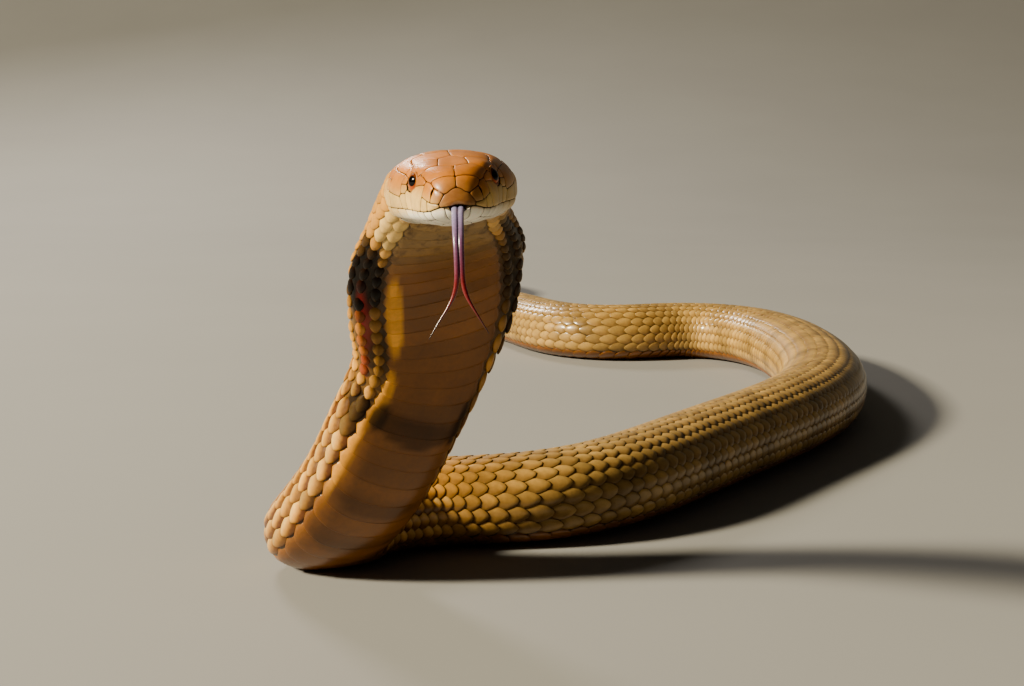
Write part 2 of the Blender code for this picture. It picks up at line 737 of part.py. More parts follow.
def cast(head, tree, view, first, second, twin):
    """Point and outward direction where a plate's corner meets the head."""
    far = 60.0
    if view == "top":
        start, way = head.point(first, twin * second, far), -head.up
    elif view == "under":
        start, way = head.point(first, twin * second, -far), head.up
    elif view == "front":
        start, way = head.point(-far, twin * first, second), -head.forward
    else:
        start, way = head.point(first, twin * far, second), -head.left * twin
    place, normal, _, _ = tree.ray_cast(start, way)
    return place, normal


def plate_outline(corners):
    """Corners drawn in by half a seam, with long edges split."""
    points = [Vector(corner) for corner in corners]
    middle = sum(points, Vector((0.0, 0.0))) / len(points)
    drawn = []
    for i, point in enumerate(points):
        before = (points[i - 1] - point).normalized()
        after = (points[(i + 1) % len(points)] - point).normalized()
        inward = before + after
        if inward.length < 0.35:
            inward = middle - point
        inward.normalize()
        if inward.dot(middle - point) < 0.0:
            inward = -inward
        drawn.append(point + inward * (SEAM_HALF_MM * 1.3))
    outline = []
    for i, point in enumerate(drawn):
        after = drawn[(i + 1) % len(drawn)]
        parts = max(1, math.ceil((after - point).length / EDGE_STEP_MM))
        for k in range(parts):
            outline.append(point.lerp(after, k / parts))
    return outline, middle


def plate(head, tree, view, corners, twin):
    """One closed plate standing on the head, with its root sunk into it."""
    outline, middle = plate_outline(corners)
    top = []
    low = []
    for point in outline:
        place, normal = cast(head, tree, view, point.x, point.y, twin)
        if place is None:
            return None
        top.append(place + normal * (PLATE_RISE_MM * MM))
        low.append(place - normal * (PLATE_ROOT_MM * MM))
    centre, normal = cast(head, tree, view, middle.x, middle.y, twin)
    if centre is None:
        return None
    builder = bmesh.new()
    rim = [builder.verts.new(point) for point in top]
    root = [builder.verts.new(point) for point in low]
    crown = builder.verts.new(centre + normal * (PLATE_RISE_MM * MM))
    base = builder.verts.new(centre - normal * (PLATE_ROOT_MM * MM))
    inner = rim
    count = len(rim)
    if max((point - middle).length for point in outline) > WIDE_PLATE_MM:
        inner = []
        for point in outline:
            half = point.lerp(middle, 0.5)
            place, normal = cast(head, tree, view, half.x, half.y, twin)
            inner.append(builder.verts.new(place + normal * (PLATE_RISE_MM * MM)))
        for i in range(count):
            j = (i + 1) % count
            builder.faces.new((rim[i], rim[j], inner[j], inner[i]))
    for i in range(count):
        j = (i + 1) % count
        builder.faces.new((inner[i], inner[j], crown))
        builder.faces.new((root[j], root[i], base))
        builder.faces.new((rim[j], rim[i], root[i], root[j]))
    bmesh.ops.triangulate(builder, faces=builder.faces)
    bmesh.ops.recalc_face_normals(builder, faces=builder.faces)
    return new_object("plate", builder, "hide")


def add_plates(head, made, table):
    """Fuse a table of plates to the head or the jaw."""
    tree = BVHTree.FromObject(made, bpy.context.evaluated_depsgraph_get())
    pieces = []
    for view, paired, corners in table:
        for twin in (1.0, -1.0) if paired else (1.0,):
            piece = plate(head, tree, view, corners, twin)
            if piece:
                pieces.append(piece)
    return union_all(made, pieces, "plates")


def nostril_cutter(head, twin):
    """A small upright oval that hollows one nostril."""
    builder = bmesh.new()
    bmesh.ops.create_icosphere(builder, subdivisions=2, radius=1.0)
    tall, deep = NOSTRIL_HALF_MM
    for vert in builder.verts:
        behind = NOSTRIL_MM[0] + vert.co.x * deep
        side = twin * (NOSTRIL_MM[1] + vert.co.y * deep)
        vert.co = head.point(behind, side, NOSTRIL_MM[2] + vert.co.z * tall)
    bmesh.ops.recalc_face_normals(builder, faces=builder.faces)
    return new_object("nostril", builder, "hide")


def notch_cutter(head):
    """The slot at the front of the mouth that the tongue passes through."""
    points = [head.point(behind, 0.0, TONGUE_LEVEL_MM) for behind in (NOTCH_DEPTH_MM, 4.0, -4.0)]
    rings = tube_rings(points, (NOTCH_HALF_MM, NOTCH_HALF_MM), head.left)
    return new_object("notch", loft(rings), "tongue")


def make_head(head, route):
    """Upper head, lower jaw, eyes and tongue."""
    upper = new_object("head", loft(head_part_rings(head, route, True)), "hide")
    jaw = new_object("lower_jaw", loft(head_part_rings(head, route, False)), "hide")
    add_plates(head, upper, UPPER_PLATES_MM)
    add_plates(head, jaw, LOWER_PLATES_MM)
    for side, name in ((1.0, "eye_left"), (-1.0, "eye_right")):
        centre = head.point(EYE_CENTRE_MM[0], side * EYE_CENTRE_MM[1], EYE_CENTRE_MM[2])
        socket = ball("socket", centre, SOCKET_RADIUS_MM * MM, "hide", head)
        boolean(upper, socket, "DIFFERENCE")
        ball(name, centre, EYE_RADIUS_MM * MM, "eye", head)
        boolean(upper, nostril_cutter(head, side), "DIFFERENCE")
    boolean(upper, notch_cutter(head), "DIFFERENCE")
    boolean(jaw, notch_cutter(head), "DIFFERENCE")
    smooth(upper)
    smooth(jaw)
    make_tongue(head)


def make_body(route):
    """All lengths of the body from the neck to the tip of the tail."""
    start = head_end(route)
    for name, end, sides, raised in LENGTHS:
        end = min(end, route.length)
        body_length(route, name, start, end, sides, raised)
        start = end


def main():
    """Build the snake."""
    for old in list(bpy.data.objects):
        bpy.data.objects.remove(old, do_unlink=True)
    head = HeadFrame()
    route = Route(head)
    make_head(head, route)
    make_body(route)


main()
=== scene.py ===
"""Looks of a life-size king cobra with its head raised and its neck spread.

Lengths are in metres unless a name ends in _MM. The snake faces -Y, +Z is up and its
belly rests on the floor at z = 0. Two numbers place anything on the hide: q, the
distance behind the snout along the body, and g, the way round it from the back at 0
to the belly at 1, positive on the snake's left side and negative on its right.
"""

from __future__ import annotations

import logging
import math
from dataclasses import dataclass, field
from enum import Enum

import bmesh
import bpy
import numpy as np
from bmesh.types import BMesh, BMVert
from bpy.types import Material, Mesh, Node, NodeSocket, Object
from mathutils import Matrix, Vector
from mathutils.bvhtree import BVHTree

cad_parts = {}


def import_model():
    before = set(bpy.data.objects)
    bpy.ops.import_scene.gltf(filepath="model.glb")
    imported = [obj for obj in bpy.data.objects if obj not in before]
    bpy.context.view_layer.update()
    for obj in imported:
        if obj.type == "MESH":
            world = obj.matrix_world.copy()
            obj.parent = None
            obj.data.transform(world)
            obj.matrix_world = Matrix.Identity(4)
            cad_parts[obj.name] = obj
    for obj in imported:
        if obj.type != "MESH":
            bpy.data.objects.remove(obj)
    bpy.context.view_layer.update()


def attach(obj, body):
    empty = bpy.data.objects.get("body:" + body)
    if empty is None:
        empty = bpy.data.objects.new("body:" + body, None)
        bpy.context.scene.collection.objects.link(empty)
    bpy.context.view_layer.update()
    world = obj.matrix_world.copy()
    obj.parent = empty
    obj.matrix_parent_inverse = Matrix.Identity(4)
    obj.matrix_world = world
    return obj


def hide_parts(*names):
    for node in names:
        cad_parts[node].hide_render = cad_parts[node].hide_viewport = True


LOG = logging.getLogger("cobra")
Array = np.ndarray
Shades = dict[str, Array]
Colour = tuple[float, float, float, float]
Triple = tuple[float, float, float]

MM = 0.001
ROOT = "root"

# The route of the body, repeated from the solids.
ROUTE_SHIFT = np.array((-0.0712, -1.8915, 0.0))
BELLY_SINK = 0.8 * MM
BACK_FULLNESS = 2.1
BELLY_FULLNESS = 2.6
RAISED_ROUTE = (
    (-0.0296, 0.7160, 0.1959, 0.0578, 0.0285),
    (-0.0316, 0.7330, 0.1861, 0.0674, 0.0265),
    (-0.0332, 0.7520, 0.1757, 0.0787, 0.0255),
    (-0.0345, 0.7730, 0.1624, 0.0834, 0.0260),
    (-0.0358, 0.7900, 0.1492, 0.0838, 0.0280),
    (-0.0379, 0.8040, 0.1359, 0.0808, 0.0320),
    (-0.0419, 0.8145, 0.1225, 0.0743, 0.0375),
    (-0.0482, 0.8230, 0.1066, 0.0686, 0.0425),
    (-0.0560, 0.8290, 0.0908, 0.0667, 0.0455),
    (-0.0637, 0.8340, 0.0748, 0.0658, 0.0465),
    (-0.0716, 0.8385, 0.0595, 0.0652, 0.0465),
    (-0.0815, 0.8460, 0.0440, 0.0654, 0.0468),
    (-0.0905, 0.8560, 0.0320, 0.0660, 0.0472),
)
LYING_ROUTE = (
    (-0.0965, 0.8725, 0.0662, 0.0474), (-0.0885, 0.8950, 0.0658, 0.0475),
    (-0.0705, 0.9145, 0.0652, 0.0476), (-0.0475, 0.9270, 0.0648, 0.0479),
    (-0.0190, 0.9325, 0.0646, 0.0485), (0.0090, 0.9380, 0.0646, 0.0495),
    (0.0380, 0.9560, 0.0652, 0.0502), (0.0640, 0.9840, 0.0658, 0.0508),
    (0.0880, 1.0200, 0.0664, 0.0512), (0.1120, 1.0600, 0.0670, 0.0516),
    (0.1360, 1.1000, 0.0676, 0.0520), (0.1615, 1.1420, 0.0682, 0.0524),
    (0.1870, 1.1860, 0.0688, 0.0528), (0.2120, 1.2360, 0.0694, 0.0532),
    (0.2340, 1.2920, 0.0700, 0.0536), (0.2500, 1.3540, 0.0706, 0.0540),
    (0.2590, 1.4220, 0.0712, 0.0544), (0.2620, 1.4920, 0.0716, 0.0548),
    (0.2600, 1.5600, 0.0720, 0.0550), (0.2510, 1.6230, 0.0722, 0.0552),
    (0.2310, 1.6760, 0.0724, 0.0553), (0.1985, 1.7080, 0.0724, 0.0553),
    (0.1610, 1.7130, 0.0722, 0.0552), (0.1270, 1.7030, 0.0720, 0.0550),
    (0.0950, 1.6990, 0.0716, 0.0548), (0.0660, 1.7130, 0.0712, 0.0545),
    (0.0430, 1.7440, 0.0706, 0.0541), (0.0250, 1.7880, 0.0700, 0.0537),
    (0.0080, 1.8370, 0.0692, 0.0532), (-0.0140, 1.8880, 0.0684, 0.0526),
    (-0.0460, 1.9350, 0.0674, 0.0519), (-0.0830, 1.9780, 0.0664, 0.0512),
    (-0.1120, 2.0330, 0.0652, 0.0504), (-0.1210, 2.1000, 0.0640, 0.0495),
    (-0.1080, 2.1670, 0.0626, 0.0486), (-0.0810, 2.2280, 0.0610, 0.0476),
    (-0.0560, 2.2900, 0.0594, 0.0465), (-0.0490, 2.3580, 0.0576, 0.0453),
    (-0.0640, 2.4240, 0.0556, 0.0440), (-0.0920, 2.4840, 0.0534, 0.0426),
    (-0.1190, 2.5440, 0.0510, 0.0410), (-0.1310, 2.6100, 0.0482, 0.0392),
    (-0.1240, 2.6780, 0.0450, 0.0371), (-0.1020, 2.7400, 0.0412, 0.0345),
    (-0.0780, 2.8000, 0.0366, 0.0312), (-0.0660, 2.8640, 0.0316, 0.0275),
    (-0.0740, 2.9290, 0.0266, 0.0236), (-0.0970, 2.9880, 0.0216, 0.0196),
    (-0.1200, 3.0460, 0.0168, 0.0156), (-0.1310, 3.1060, 0.0120, 0.0114),
    (-0.1300, 3.1660, 0.0060, 0.0060),
)
RAISED_HEADING = (
    (0.000, 278.0), (0.030, 288.0), (0.060, 297.0), (0.100, 300.0), (0.140, 299.0), (0.180, 296.0),
    (0.240, 292.0), (0.300, 287.0), (0.330, 282.0),
)
LIE_START = 0.296
LIE_END = 0.336

# The head, repeated from the solids: rings hold the distance behind the snout, half
# width, top, mouth line, underside and fullness of the upper section.
MOUTH_POINT = np.array((-0.0203, 0.6390, 0.1993))
HEAD_YAW = math.radians(4.9)
HEAD_PITCH = math.radians(4.5)
HEAD_ROLL = math.radians(4.0)
HEAD_RINGS_MM = (
    (0.3, 4.4, 3.6, 0.2, -2.6, 2.20), (1.2, 6.8, 6.8, 0.0, -3.9, 2.30),
    (2.6, 8.7, 9.2, -0.6, -4.9, 2.35),
    (4.6, 10.5, 11.2, -1.4, -5.9, 2.45),
    (7.5, 12.4, 12.7, -1.9, -6.9, 2.60),
    (11.5, 14.6, 13.9, -2.1, -7.9, 2.80),
    (16.5, 16.4, 14.8, -2.2, -8.9, 3.10),
    (21.5, 17.8, 15.4, -2.4, -9.7, 3.20),
    (28.0, 20.2, 15.9, -2.7, -10.6, 3.00),
    (35.0, 22.9, 16.2, -3.1, -11.4, 2.80),
    (43.0, 25.2, 16.3, -3.5, -12.2, 2.70),
    (50.0, 26.3, 16.0, -3.3, -12.8, 2.60),
    (56.0, 26.6, 15.6, -2.9, -13.3, 2.50),
    (62.0, 26.6, 15.1, -2.5, -13.8, 2.40),
)
HEAD_LENGTH_MM = 62.0
BLEND_START_MM = 48.0
JAW_FULLNESS = 2.2
JAW_INSET_MM = 0.5
EYE_CENTRE_MM = (21.0, 13.4, 8.1)
EYE_RADIUS_MM = 4.1
NOSTRIL_MM = (4.5, 8.9, 5.8)
TONGUE_LEVEL_MM = -0.6
NOTCH_HALF_MM = (2.9, 1.3)
BODY_START = BLEND_START_MM * MM


class View(Enum):
    """Ways that two numbers, in mm if not said otherwise, place a corner of a head plate."""

    TOP = "behind the snout and to the side, seen from above"
    UNDER = "the same, seen from below"
    SIDE = "behind the snout and up"
    FRONT = "to the side and up"
    LIP = "behind the snout and over the mouth line"
    JAW = "behind the snout and under the mouth line"
    RING = "degrees round the eye from its rear, and nothing"


Corner = tuple[View, float, float]


def spread(table: dict[View, dict[str, tuple[float, float]]]) -> dict[str, Corner]:
    """Turn a table by view into one that gives each corner its view and its two numbers."""
    return {name: (view, *pair) for view, corners in table.items() for name, pair in corners.items()}


# Corners of the head's plates on its left side.
PLATE_CORNERS = spread({
    View.TOP: {
        "m0": (4.5, 0.0), "a1": (5.1, 3.0), "a2": (6.1, 6.6), "a3": (7.2, 8.9), "p4": (15.9, 5.9),
        "p5": (13.2, 0.0), "f1": (22.0, 5.6), "f2": (28.2, 5.0), "f3": (34.0, 0.0), "s1": (29.4, 10.0),
        "t3": (29.6, 14.8), "u1": (36.0, 15.3), "u2": (42.0, 15.3), "u3": (47.5, 14.2),
        "w0": (49.8, 0.0), "w1": (51.0, 5.0), "w2": (50.2, 10.0), "z0": (61.8, 0.0), "z1": (56.5, 12.3),
        "z2": (60.3, 8.0), "z3": (61.7, 3.5), "y1": (57.0, 17.5),
    },
    View.UNDER: {
        "e0": (4.9, 0.0), "e1": (2.8, 3.6), "e2": (6.6, 0.0), "e3": (17.6, 0.0), "g1": (6.8, 3.2),
        "g2": (11.0, 5.2), "g3": (17.0, 5.6), "g4": (27.2, 6.6), "g5": (29.0, 1.4),
    },
    View.SIDE: {
        "n0": (2.1, 6.0), "n1": (4.3, 7.1), "n2": (6.6, 8.8), "p1": (9.8, 9.3), "p2": (12.8, 10.6),
        "p3": (15.7, 11.3), "t2": (29.3, 10.4), "t1": (29.2, 6.8), "v2": (41.5, 10.7),
        "v3": (47.0, 10.9), "v5": (42.8, 7.2), "v6": (52.5, 7.6), "v7": (51.8, 11.4), "k1": (25.2, 3.6),
        "k2": (30.3, 1.9), "k3": (28.9, 3.2), "k4": (41.5, 2.8), "k5": (51.0, 3.6), "l1": (4.4, 1.6),
        "q1": (9.9, 7.9), "q2": (9.4, 3.6), "q3": (6.0, 2.3), "q5": (13.4, 7.6), "o1": (4.15, 6.4),
        "o2": (4.0, 5.6), "o3": (4.1, 4.8), "o4": (4.3, 3.9), "o5": (4.75, 6.4), "o6": (4.85, 5.6),
        "o7": (4.7, 4.8), "d1": (5.8, -4.9), "d2": (9.4, -5.6), "d3": (13.8, -6.2), "d4": (20.0, -6.8),
        "d5": (26.5, -7.1), "d6": (34.0, -7.4), "d7": (42.0, -7.6), "d8": (49.5, -7.4),
    },
    View.FRONT: {
        "r0": (0.0, 7.3), "r1": (1.9, 6.7), "r2": (3.3, 5.5), "r3": (4.8, 5.0), "r4": (5.6, 3.6),
        "r5": (6.4, 2.4), "r6": (7.0, 1.3), "r8": (4.6, 0.42), "r9": (2.9, 0.55), "r10": (1.5, 0.95),
        "r11": (0.0, 1.1), "c0": (0.0, -2.15), "c1": (2.1, -1.85), "c2": (3.1, -1.0),
    },
    View.LIP: {
        "r7": (1.2, 0.05), "m1": (5.8, 0.05), "m2": (10.1, 0.05), "m3": (17.6, 0.05),
        "m4": (23.4, 0.05), "m5": (27.8, 0.05), "m6": (40.6, 0.05), "m7": (50.5, 0.05),
    },
    View.JAW: {
        "c3": (0.6, 0.08), "j1": (4.6, 0.08), "j2": (8.8, 0.08), "j3": (13.4, 0.08), "j4": (19.5, 0.08),
        "j5": (26.5, 0.08), "j6": (34.0, 0.08), "j7": (42.0, 0.08), "j8": (50.0, 0.08),
    },
    View.RING: {
        f"b{degrees}": (float(degrees), 0.0)
        for degrees in (200, 175, 150, 130, 110, 90, 70, 50, 35, 20, 2, 345, 328, 310, 285, 265, 245, 225)
    },
})
PLATE_RING_MM = 3.75

# Plates by their corners, with half the gap round each. A corner with a minus lies on
# the other side, and a plate that names one has no twin.
UPPER_PLATES = (
    ("r0 r1 r2 r3 r4 r5 r6 r7 r8 r9 r10 r11 -r10 -r9 -r8 -r7 -r6 -r5 -r4 -r3 -r2 -r1", 0.07),
    ("r0 r1 r2 r3 n0 n1 n2 a3 a2 a1 m0", 0.07),
    ("m0 a1 a2 a3 n2 p1 p2 p3 p4 p5", 0.08),
    ("p5 p4 f1 f2 f3 -f2 -f1 -p4", 0.08),
    ("p4 p3 b150 b130 b110 b90 b70 b50 t3 s1 f2 f1", 0.06),
    ("f3 f2 s1 t3 u1 u2 u3 w2 w1 w0", 0.10),
    ("w0 w1 w2 z1 z2 z3 z0", 0.10),
    ("w2 u3 v3 v7 y1 z1", 0.10),
    ("r3 r4 r5 r6 l1 o4 o3 o2 o1 n1 n0", 0.07),
    ("n1 o5 o6 o7 o4 l1 q3 q2 q1 p1 n2", 0.06),
    ("p1 p2 p3 b150 b175 b200 q5 q1", 0.05),
    ("r6 r7 m1 q3 l1", 0.05),
    ("m1 m2 q2 q3", 0.04),
    ("m2 m3 b245 b225 b200 q5 q1 q2", 0.04),
    ("b245 b265 b285 b310 k1 m4 m3", 0.05),
    ("k1 k3 k2 m5 m4", 0.05),
    ("k2 k4 m6 m5", 0.08),
    ("k4 k5 m7 m6", 0.08),
    ("b310 b328 b345 t1 k3 k1", 0.05),
    ("b345 b2 b20 t2 t1", 0.05),
    ("b20 b35 b50 t3 t2", 0.06),
    ("t2 t3 u1 u2 u3 v3 v2", 0.10),
    ("k3 t1 t2 v2 v5 k4 k2", 0.08),
    ("k4 v5 v6 k5", 0.08),
    ("v5 v2 v3 v7 v6", 0.08),
)
LOWER_PLATES = (
    ("c0 c1 c2 c3 e1 e0 -e1 -c3 -c2 -c1", 0.07),
    ("c3 j1 d1 g1 e2 e0 e1", 0.06),
    *((f"j{k} j{k + 1} d{k + 1} d{k}", 0.06) for k in range(1, 8)),
    ("g1 d1 d2 g2", 0.07), ("g2 d2 d3 d4 g3", 0.07),
    ("e2 g1 g2 g3 e3", 0.07), ("e3 g3 g4 g5", 0.07),
)

# The tongue, repeated from the solids.
TONGUE_ROUTE = (
    (-0.0202, 0.6335, 0.1976), (-0.0200, 0.6280, 0.1948), (-0.0197, 0.6225, 0.1892),
    (-0.0193, 0.6198, 0.1812), (-0.0190, 0.6190, 0.1732),
)
TINE_RIGHT = (
    (-0.0198, 0.6189, 0.1745), (-0.0208, 0.6187, 0.1690), (-0.0243, 0.6181, 0.1620),
    (-0.0276, 0.6176, 0.1568), (-0.0304, 0.6172, 0.1519),
)
TINE_LEFT = (
    (-0.0183, 0.6189, 0.1745), (-0.0172, 0.6187, 0.1695), (-0.0139, 0.6181, 0.1630),
    (-0.0109, 0.6176, 0.1582), (-0.0084, 0.6172, 0.1541),
)


class Slot(Enum):
    """Names of three material slots, for the hide, the eyes and the tongue."""

    HIDE = "hide"
    EYE = "eye"
    TONGUE = "tongue"


FLESH_NODES = (
    "head", "lower_jaw", "hood_upper", "hood_lower", "raised_body", "base_bend", "near_body",
    "outward_body", "turn_front", "turn_back", "far_body", "rear_bend_a", "rear_bend_b",
    "rear_bend_c", "rear_bend_d", "vent_length", "tail_root", "tail_middle", "tail_tip",
)


def smooth_step(value: Array | float, low: float, high: float) -> Array:
    """Ramp softly from 0 at low to 1 at high."""
    ratio = np.clip((np.asarray(value, dtype=float) - low) / (high - low), 0.0, 1.0)
    return ratio * ratio * (3.0 - 2.0 * ratio)


def bell(value: Array, middle: float, half: float) -> Array:
    """A soft bump of height 1 at middle that has fallen off by about half away."""
    return np.exp(-(((np.asarray(value, dtype=float) - middle) / half) ** 2))


def unit(vectors: Array) -> Array:
    """Vectors scaled to length 1 along the last axis."""
    return vectors / np.maximum(np.linalg.norm(vectors, axis=-1, keepdims=True), 1e-12)


def srgb(red: int, green: int, blue: int) -> Colour:
    """Turn a colour given as on a screen into the shader's linear one.

    Args:
        red: Red, from 0 to 255.
        green: Green, the same.
        blue: Blue, the same.

    Returns:
        The linear colour.
    """
    shares = [part / 255.0 for part in (red, green, blue)]
    linear = [s / 12.92 if s <= 0.04045 else ((s + 0.055) / 1.055) ** 2.4 for s in shares]
    return (*linear, 1.0)


class Spline:
    """A natural cubic spline through rows of values."""

    def __init__(self, knots: Array, rows: Array) -> None:
        """Solve the spline's bends.

        Args:
            knots: Rising knot values.
            rows: One row of values for each knot.
        """
        self.knots = np.asarray(knots, dtype=float)
        self.rows = np.asarray(rows, dtype=float)
        count = len(self.knots)
        step = np.diff(self.knots)
        matrix = np.eye(count)
        right = np.zeros_like(self.rows)
        for i in range(1, count - 1):
            matrix[i, i - 1] = step[i - 1]
            matrix[i, i] = 2.0 * (step[i - 1] + step[i])
            matrix[i, i + 1] = step[i]
            after = (self.rows[i + 1] - self.rows[i]) / step[i]
            before = (self.rows[i] - self.rows[i - 1]) / step[i - 1]
            right[i] = 6.0 * (after - before)
        self.bends = np.linalg.solve(matrix, right)

    def at(self, values: Array) -> Array:
        """Rows of values at some knot values.

        Args:
            values: Knot values, one for each wanted row.

        Returns:
            One row of values for each.
        """
        values = np.atleast_1d(np.asarray(values, dtype=float))
        place = np.clip(np.searchsorted(self.knots, values) - 1, 0, len(self.knots) - 2)
        low, high = self.knots[place], self.knots[place + 1]
        span = high - low
        left = ((high - values) / span)[:, None]
        right = ((values - low) / span)[:, None]
        curve = (left**3 - left) * self.bends[place] + (right**3 - right) * self.bends[place + 1]
        return left * self.rows[place] + right * self.rows[place + 1] + curve * (span**2)[:, None] / 6.0


class HeadFrame:
    """Axes of the head: forward, left and up from the mouth's front edge."""

    def __init__(self) -> None:
        """Turn the head as in the photograph."""
        flat = math.cos(HEAD_PITCH)
        self.forward = np.array(
            (math.sin(HEAD_YAW) * flat, -math.cos(HEAD_YAW) * flat, -math.sin(HEAD_PITCH))
        )
        level = unit(np.cross((0.0, 0.0, 1.0), self.forward))
        upright = unit(np.cross(self.forward, level))
        self.left = level * math.cos(HEAD_ROLL) + upright * math.sin(HEAD_ROLL)
        self.up = unit(np.cross(self.forward, self.left))
        self.origin = MOUTH_POINT + ROUTE_SHIFT

    def point(self, behind: Array, side: Array, up: Array) -> Array:
        """World points from millimetres behind the snout, to the left and up."""
        behind, side, up = (np.asarray(v, dtype=float)[..., None] * MM for v in (behind, side, up))
        return self.origin - self.forward * behind + self.left * side + self.up * up

    def read(self, points: Array) -> tuple[Array, Array, Array]:
        """Millimetres behind the snout, to the left and up of world points."""
        away = (np.asarray(points) - self.origin) / MM
        return -away @ self.forward, away @ self.left, away @ self.up


def head_rows(behind_mm: Array) -> Array:
    """Look up the head's rings along smooth curves.

    Args:
        behind_mm: Millimetres behind the snout.

    Returns:
        Rows of half width, top, mouth line, underside and fullness.
    """
    table = np.array(HEAD_RINGS_MM)
    rounded = Spline(np.sqrt(table[:, 0]), table[:, 1:])
    behind = np.atleast_1d(np.asarray(behind_mm, dtype=float))
    return rounded.at(np.sqrt(np.clip(behind, table[0, 0], HEAD_LENGTH_MM)))


def straight_head_row(behind_mm: float) -> Array:
    """One ring of the head between the table's rows, along straight lines."""
    table = np.array(HEAD_RINGS_MM)
    return np.array([np.interp(behind_mm, table[:, 0], table[:, k]) for k in range(1, 6)])


class Route:
    """The middle line of the body with its width, height and cross axes."""

    def __init__(self, head: HeadFrame) -> None:
        """Fit the line through the head's end and the route's points.

        Args:
            head: The head that the body starts from.
        """
        rows = []
        for behind_mm in (BLEND_START_MM, HEAD_LENGTH_MM):
            ring = straight_head_row(behind_mm)
            place = head.point(behind_mm, 0.0, 0.5 * (ring[1] + ring[3])) - ROUTE_SHIFT
            rows.append((*place, 2.0 * ring[0] * MM, (ring[1] - ring[3]) * MM))
        rows.extend(RAISED_ROUTE)
        for x, y, width, height in LYING_ROUTE:
            rows.append((x, y, 0.5 * height - BELLY_SINK, width, height))
        table = np.array(rows)
        chords = np.linalg.norm(np.diff(table[:, :3], axis=0), axis=1)
        knots = np.concatenate(([0.0], np.cumsum(chords)))
        self.spline = Spline(knots, table)
        self.steps = np.linspace(0.0, knots[-1], 6001)
        places = self.spline.at(self.steps)[:, :3]
        lengths = np.linalg.norm(np.diff(places, axis=0), axis=1)
        self.along = np.concatenate(([0.0], np.cumsum(lengths)))
        self.length = float(self.along[-1])
        self._set_headings()

    def rows(self, distance: Array) -> Array:
        """Look the line up, with the belly brought to the floor where it lies.

        Args:
            distance: Distances along the body.

        Returns:
            Rows of position before the shift, width and height.
        """
        distance = np.asarray(distance, dtype=float)
        rows = self.spline.at(np.interp(distance, self.along, self.steps))
        lying = smooth_step(distance, LIE_START, LIE_END)
        rows[:, 2] = rows[:, 2] * (1.0 - lying) + (0.5 * rows[:, 4] - BELLY_SINK) * lying
        return rows

    def tangent(self, distance: Array) -> Array:
        """Direction of the line toward the tail.

        Args:
            distance: Distances along the body.

        Returns:
            Unit vectors.
        """
        low = np.clip(distance - 0.5 * MM, 0.0, self.length)
        high = np.clip(distance + 0.5 * MM, 0.0, self.length)
        return unit(self.rows(high)[:, :3] - self.rows(low)[:, :3])

    def _set_headings(self) -> None:
        """Bearing of the way the belly opens, all along the body."""
        self.marks = np.linspace(0.0, self.length, 1201)
        way = -self.tangent(self.marks)
        bearings = np.degrees(np.unwrap(np.arctan2(way[:, 1], way[:, 0])))
        reference = np.interp(LIE_END, self.marks, bearings)
        bearings = bearings + 360.0 * round((270.0 - reference) / 360.0)
        table = np.array(RAISED_HEADING)
        raised = np.interp(self.marks, table[:, 0], table[:, 1])
        lying = smooth_step(self.marks, LIE_START, LIE_END)
        self.headings = raised * (1.0 - lying) + bearings * lying

    def axes(self, distance: Array) -> tuple[Array, Array]:
        """Directions across the body.

        Args:
            distance: Distances along the body.

        Returns:
            Unit vectors to its right side and to its back.
        """
        way = -self.tangent(distance)
        bearing = np.radians(np.interp(distance, self.marks, self.headings))
        side = np.stack((np.sin(bearing), -np.cos(bearing), np.zeros_like(bearing)), axis=1)
        side = unit(side - way * np.sum(side * way, axis=1, keepdims=True))
        return side, unit(np.cross(side, way))


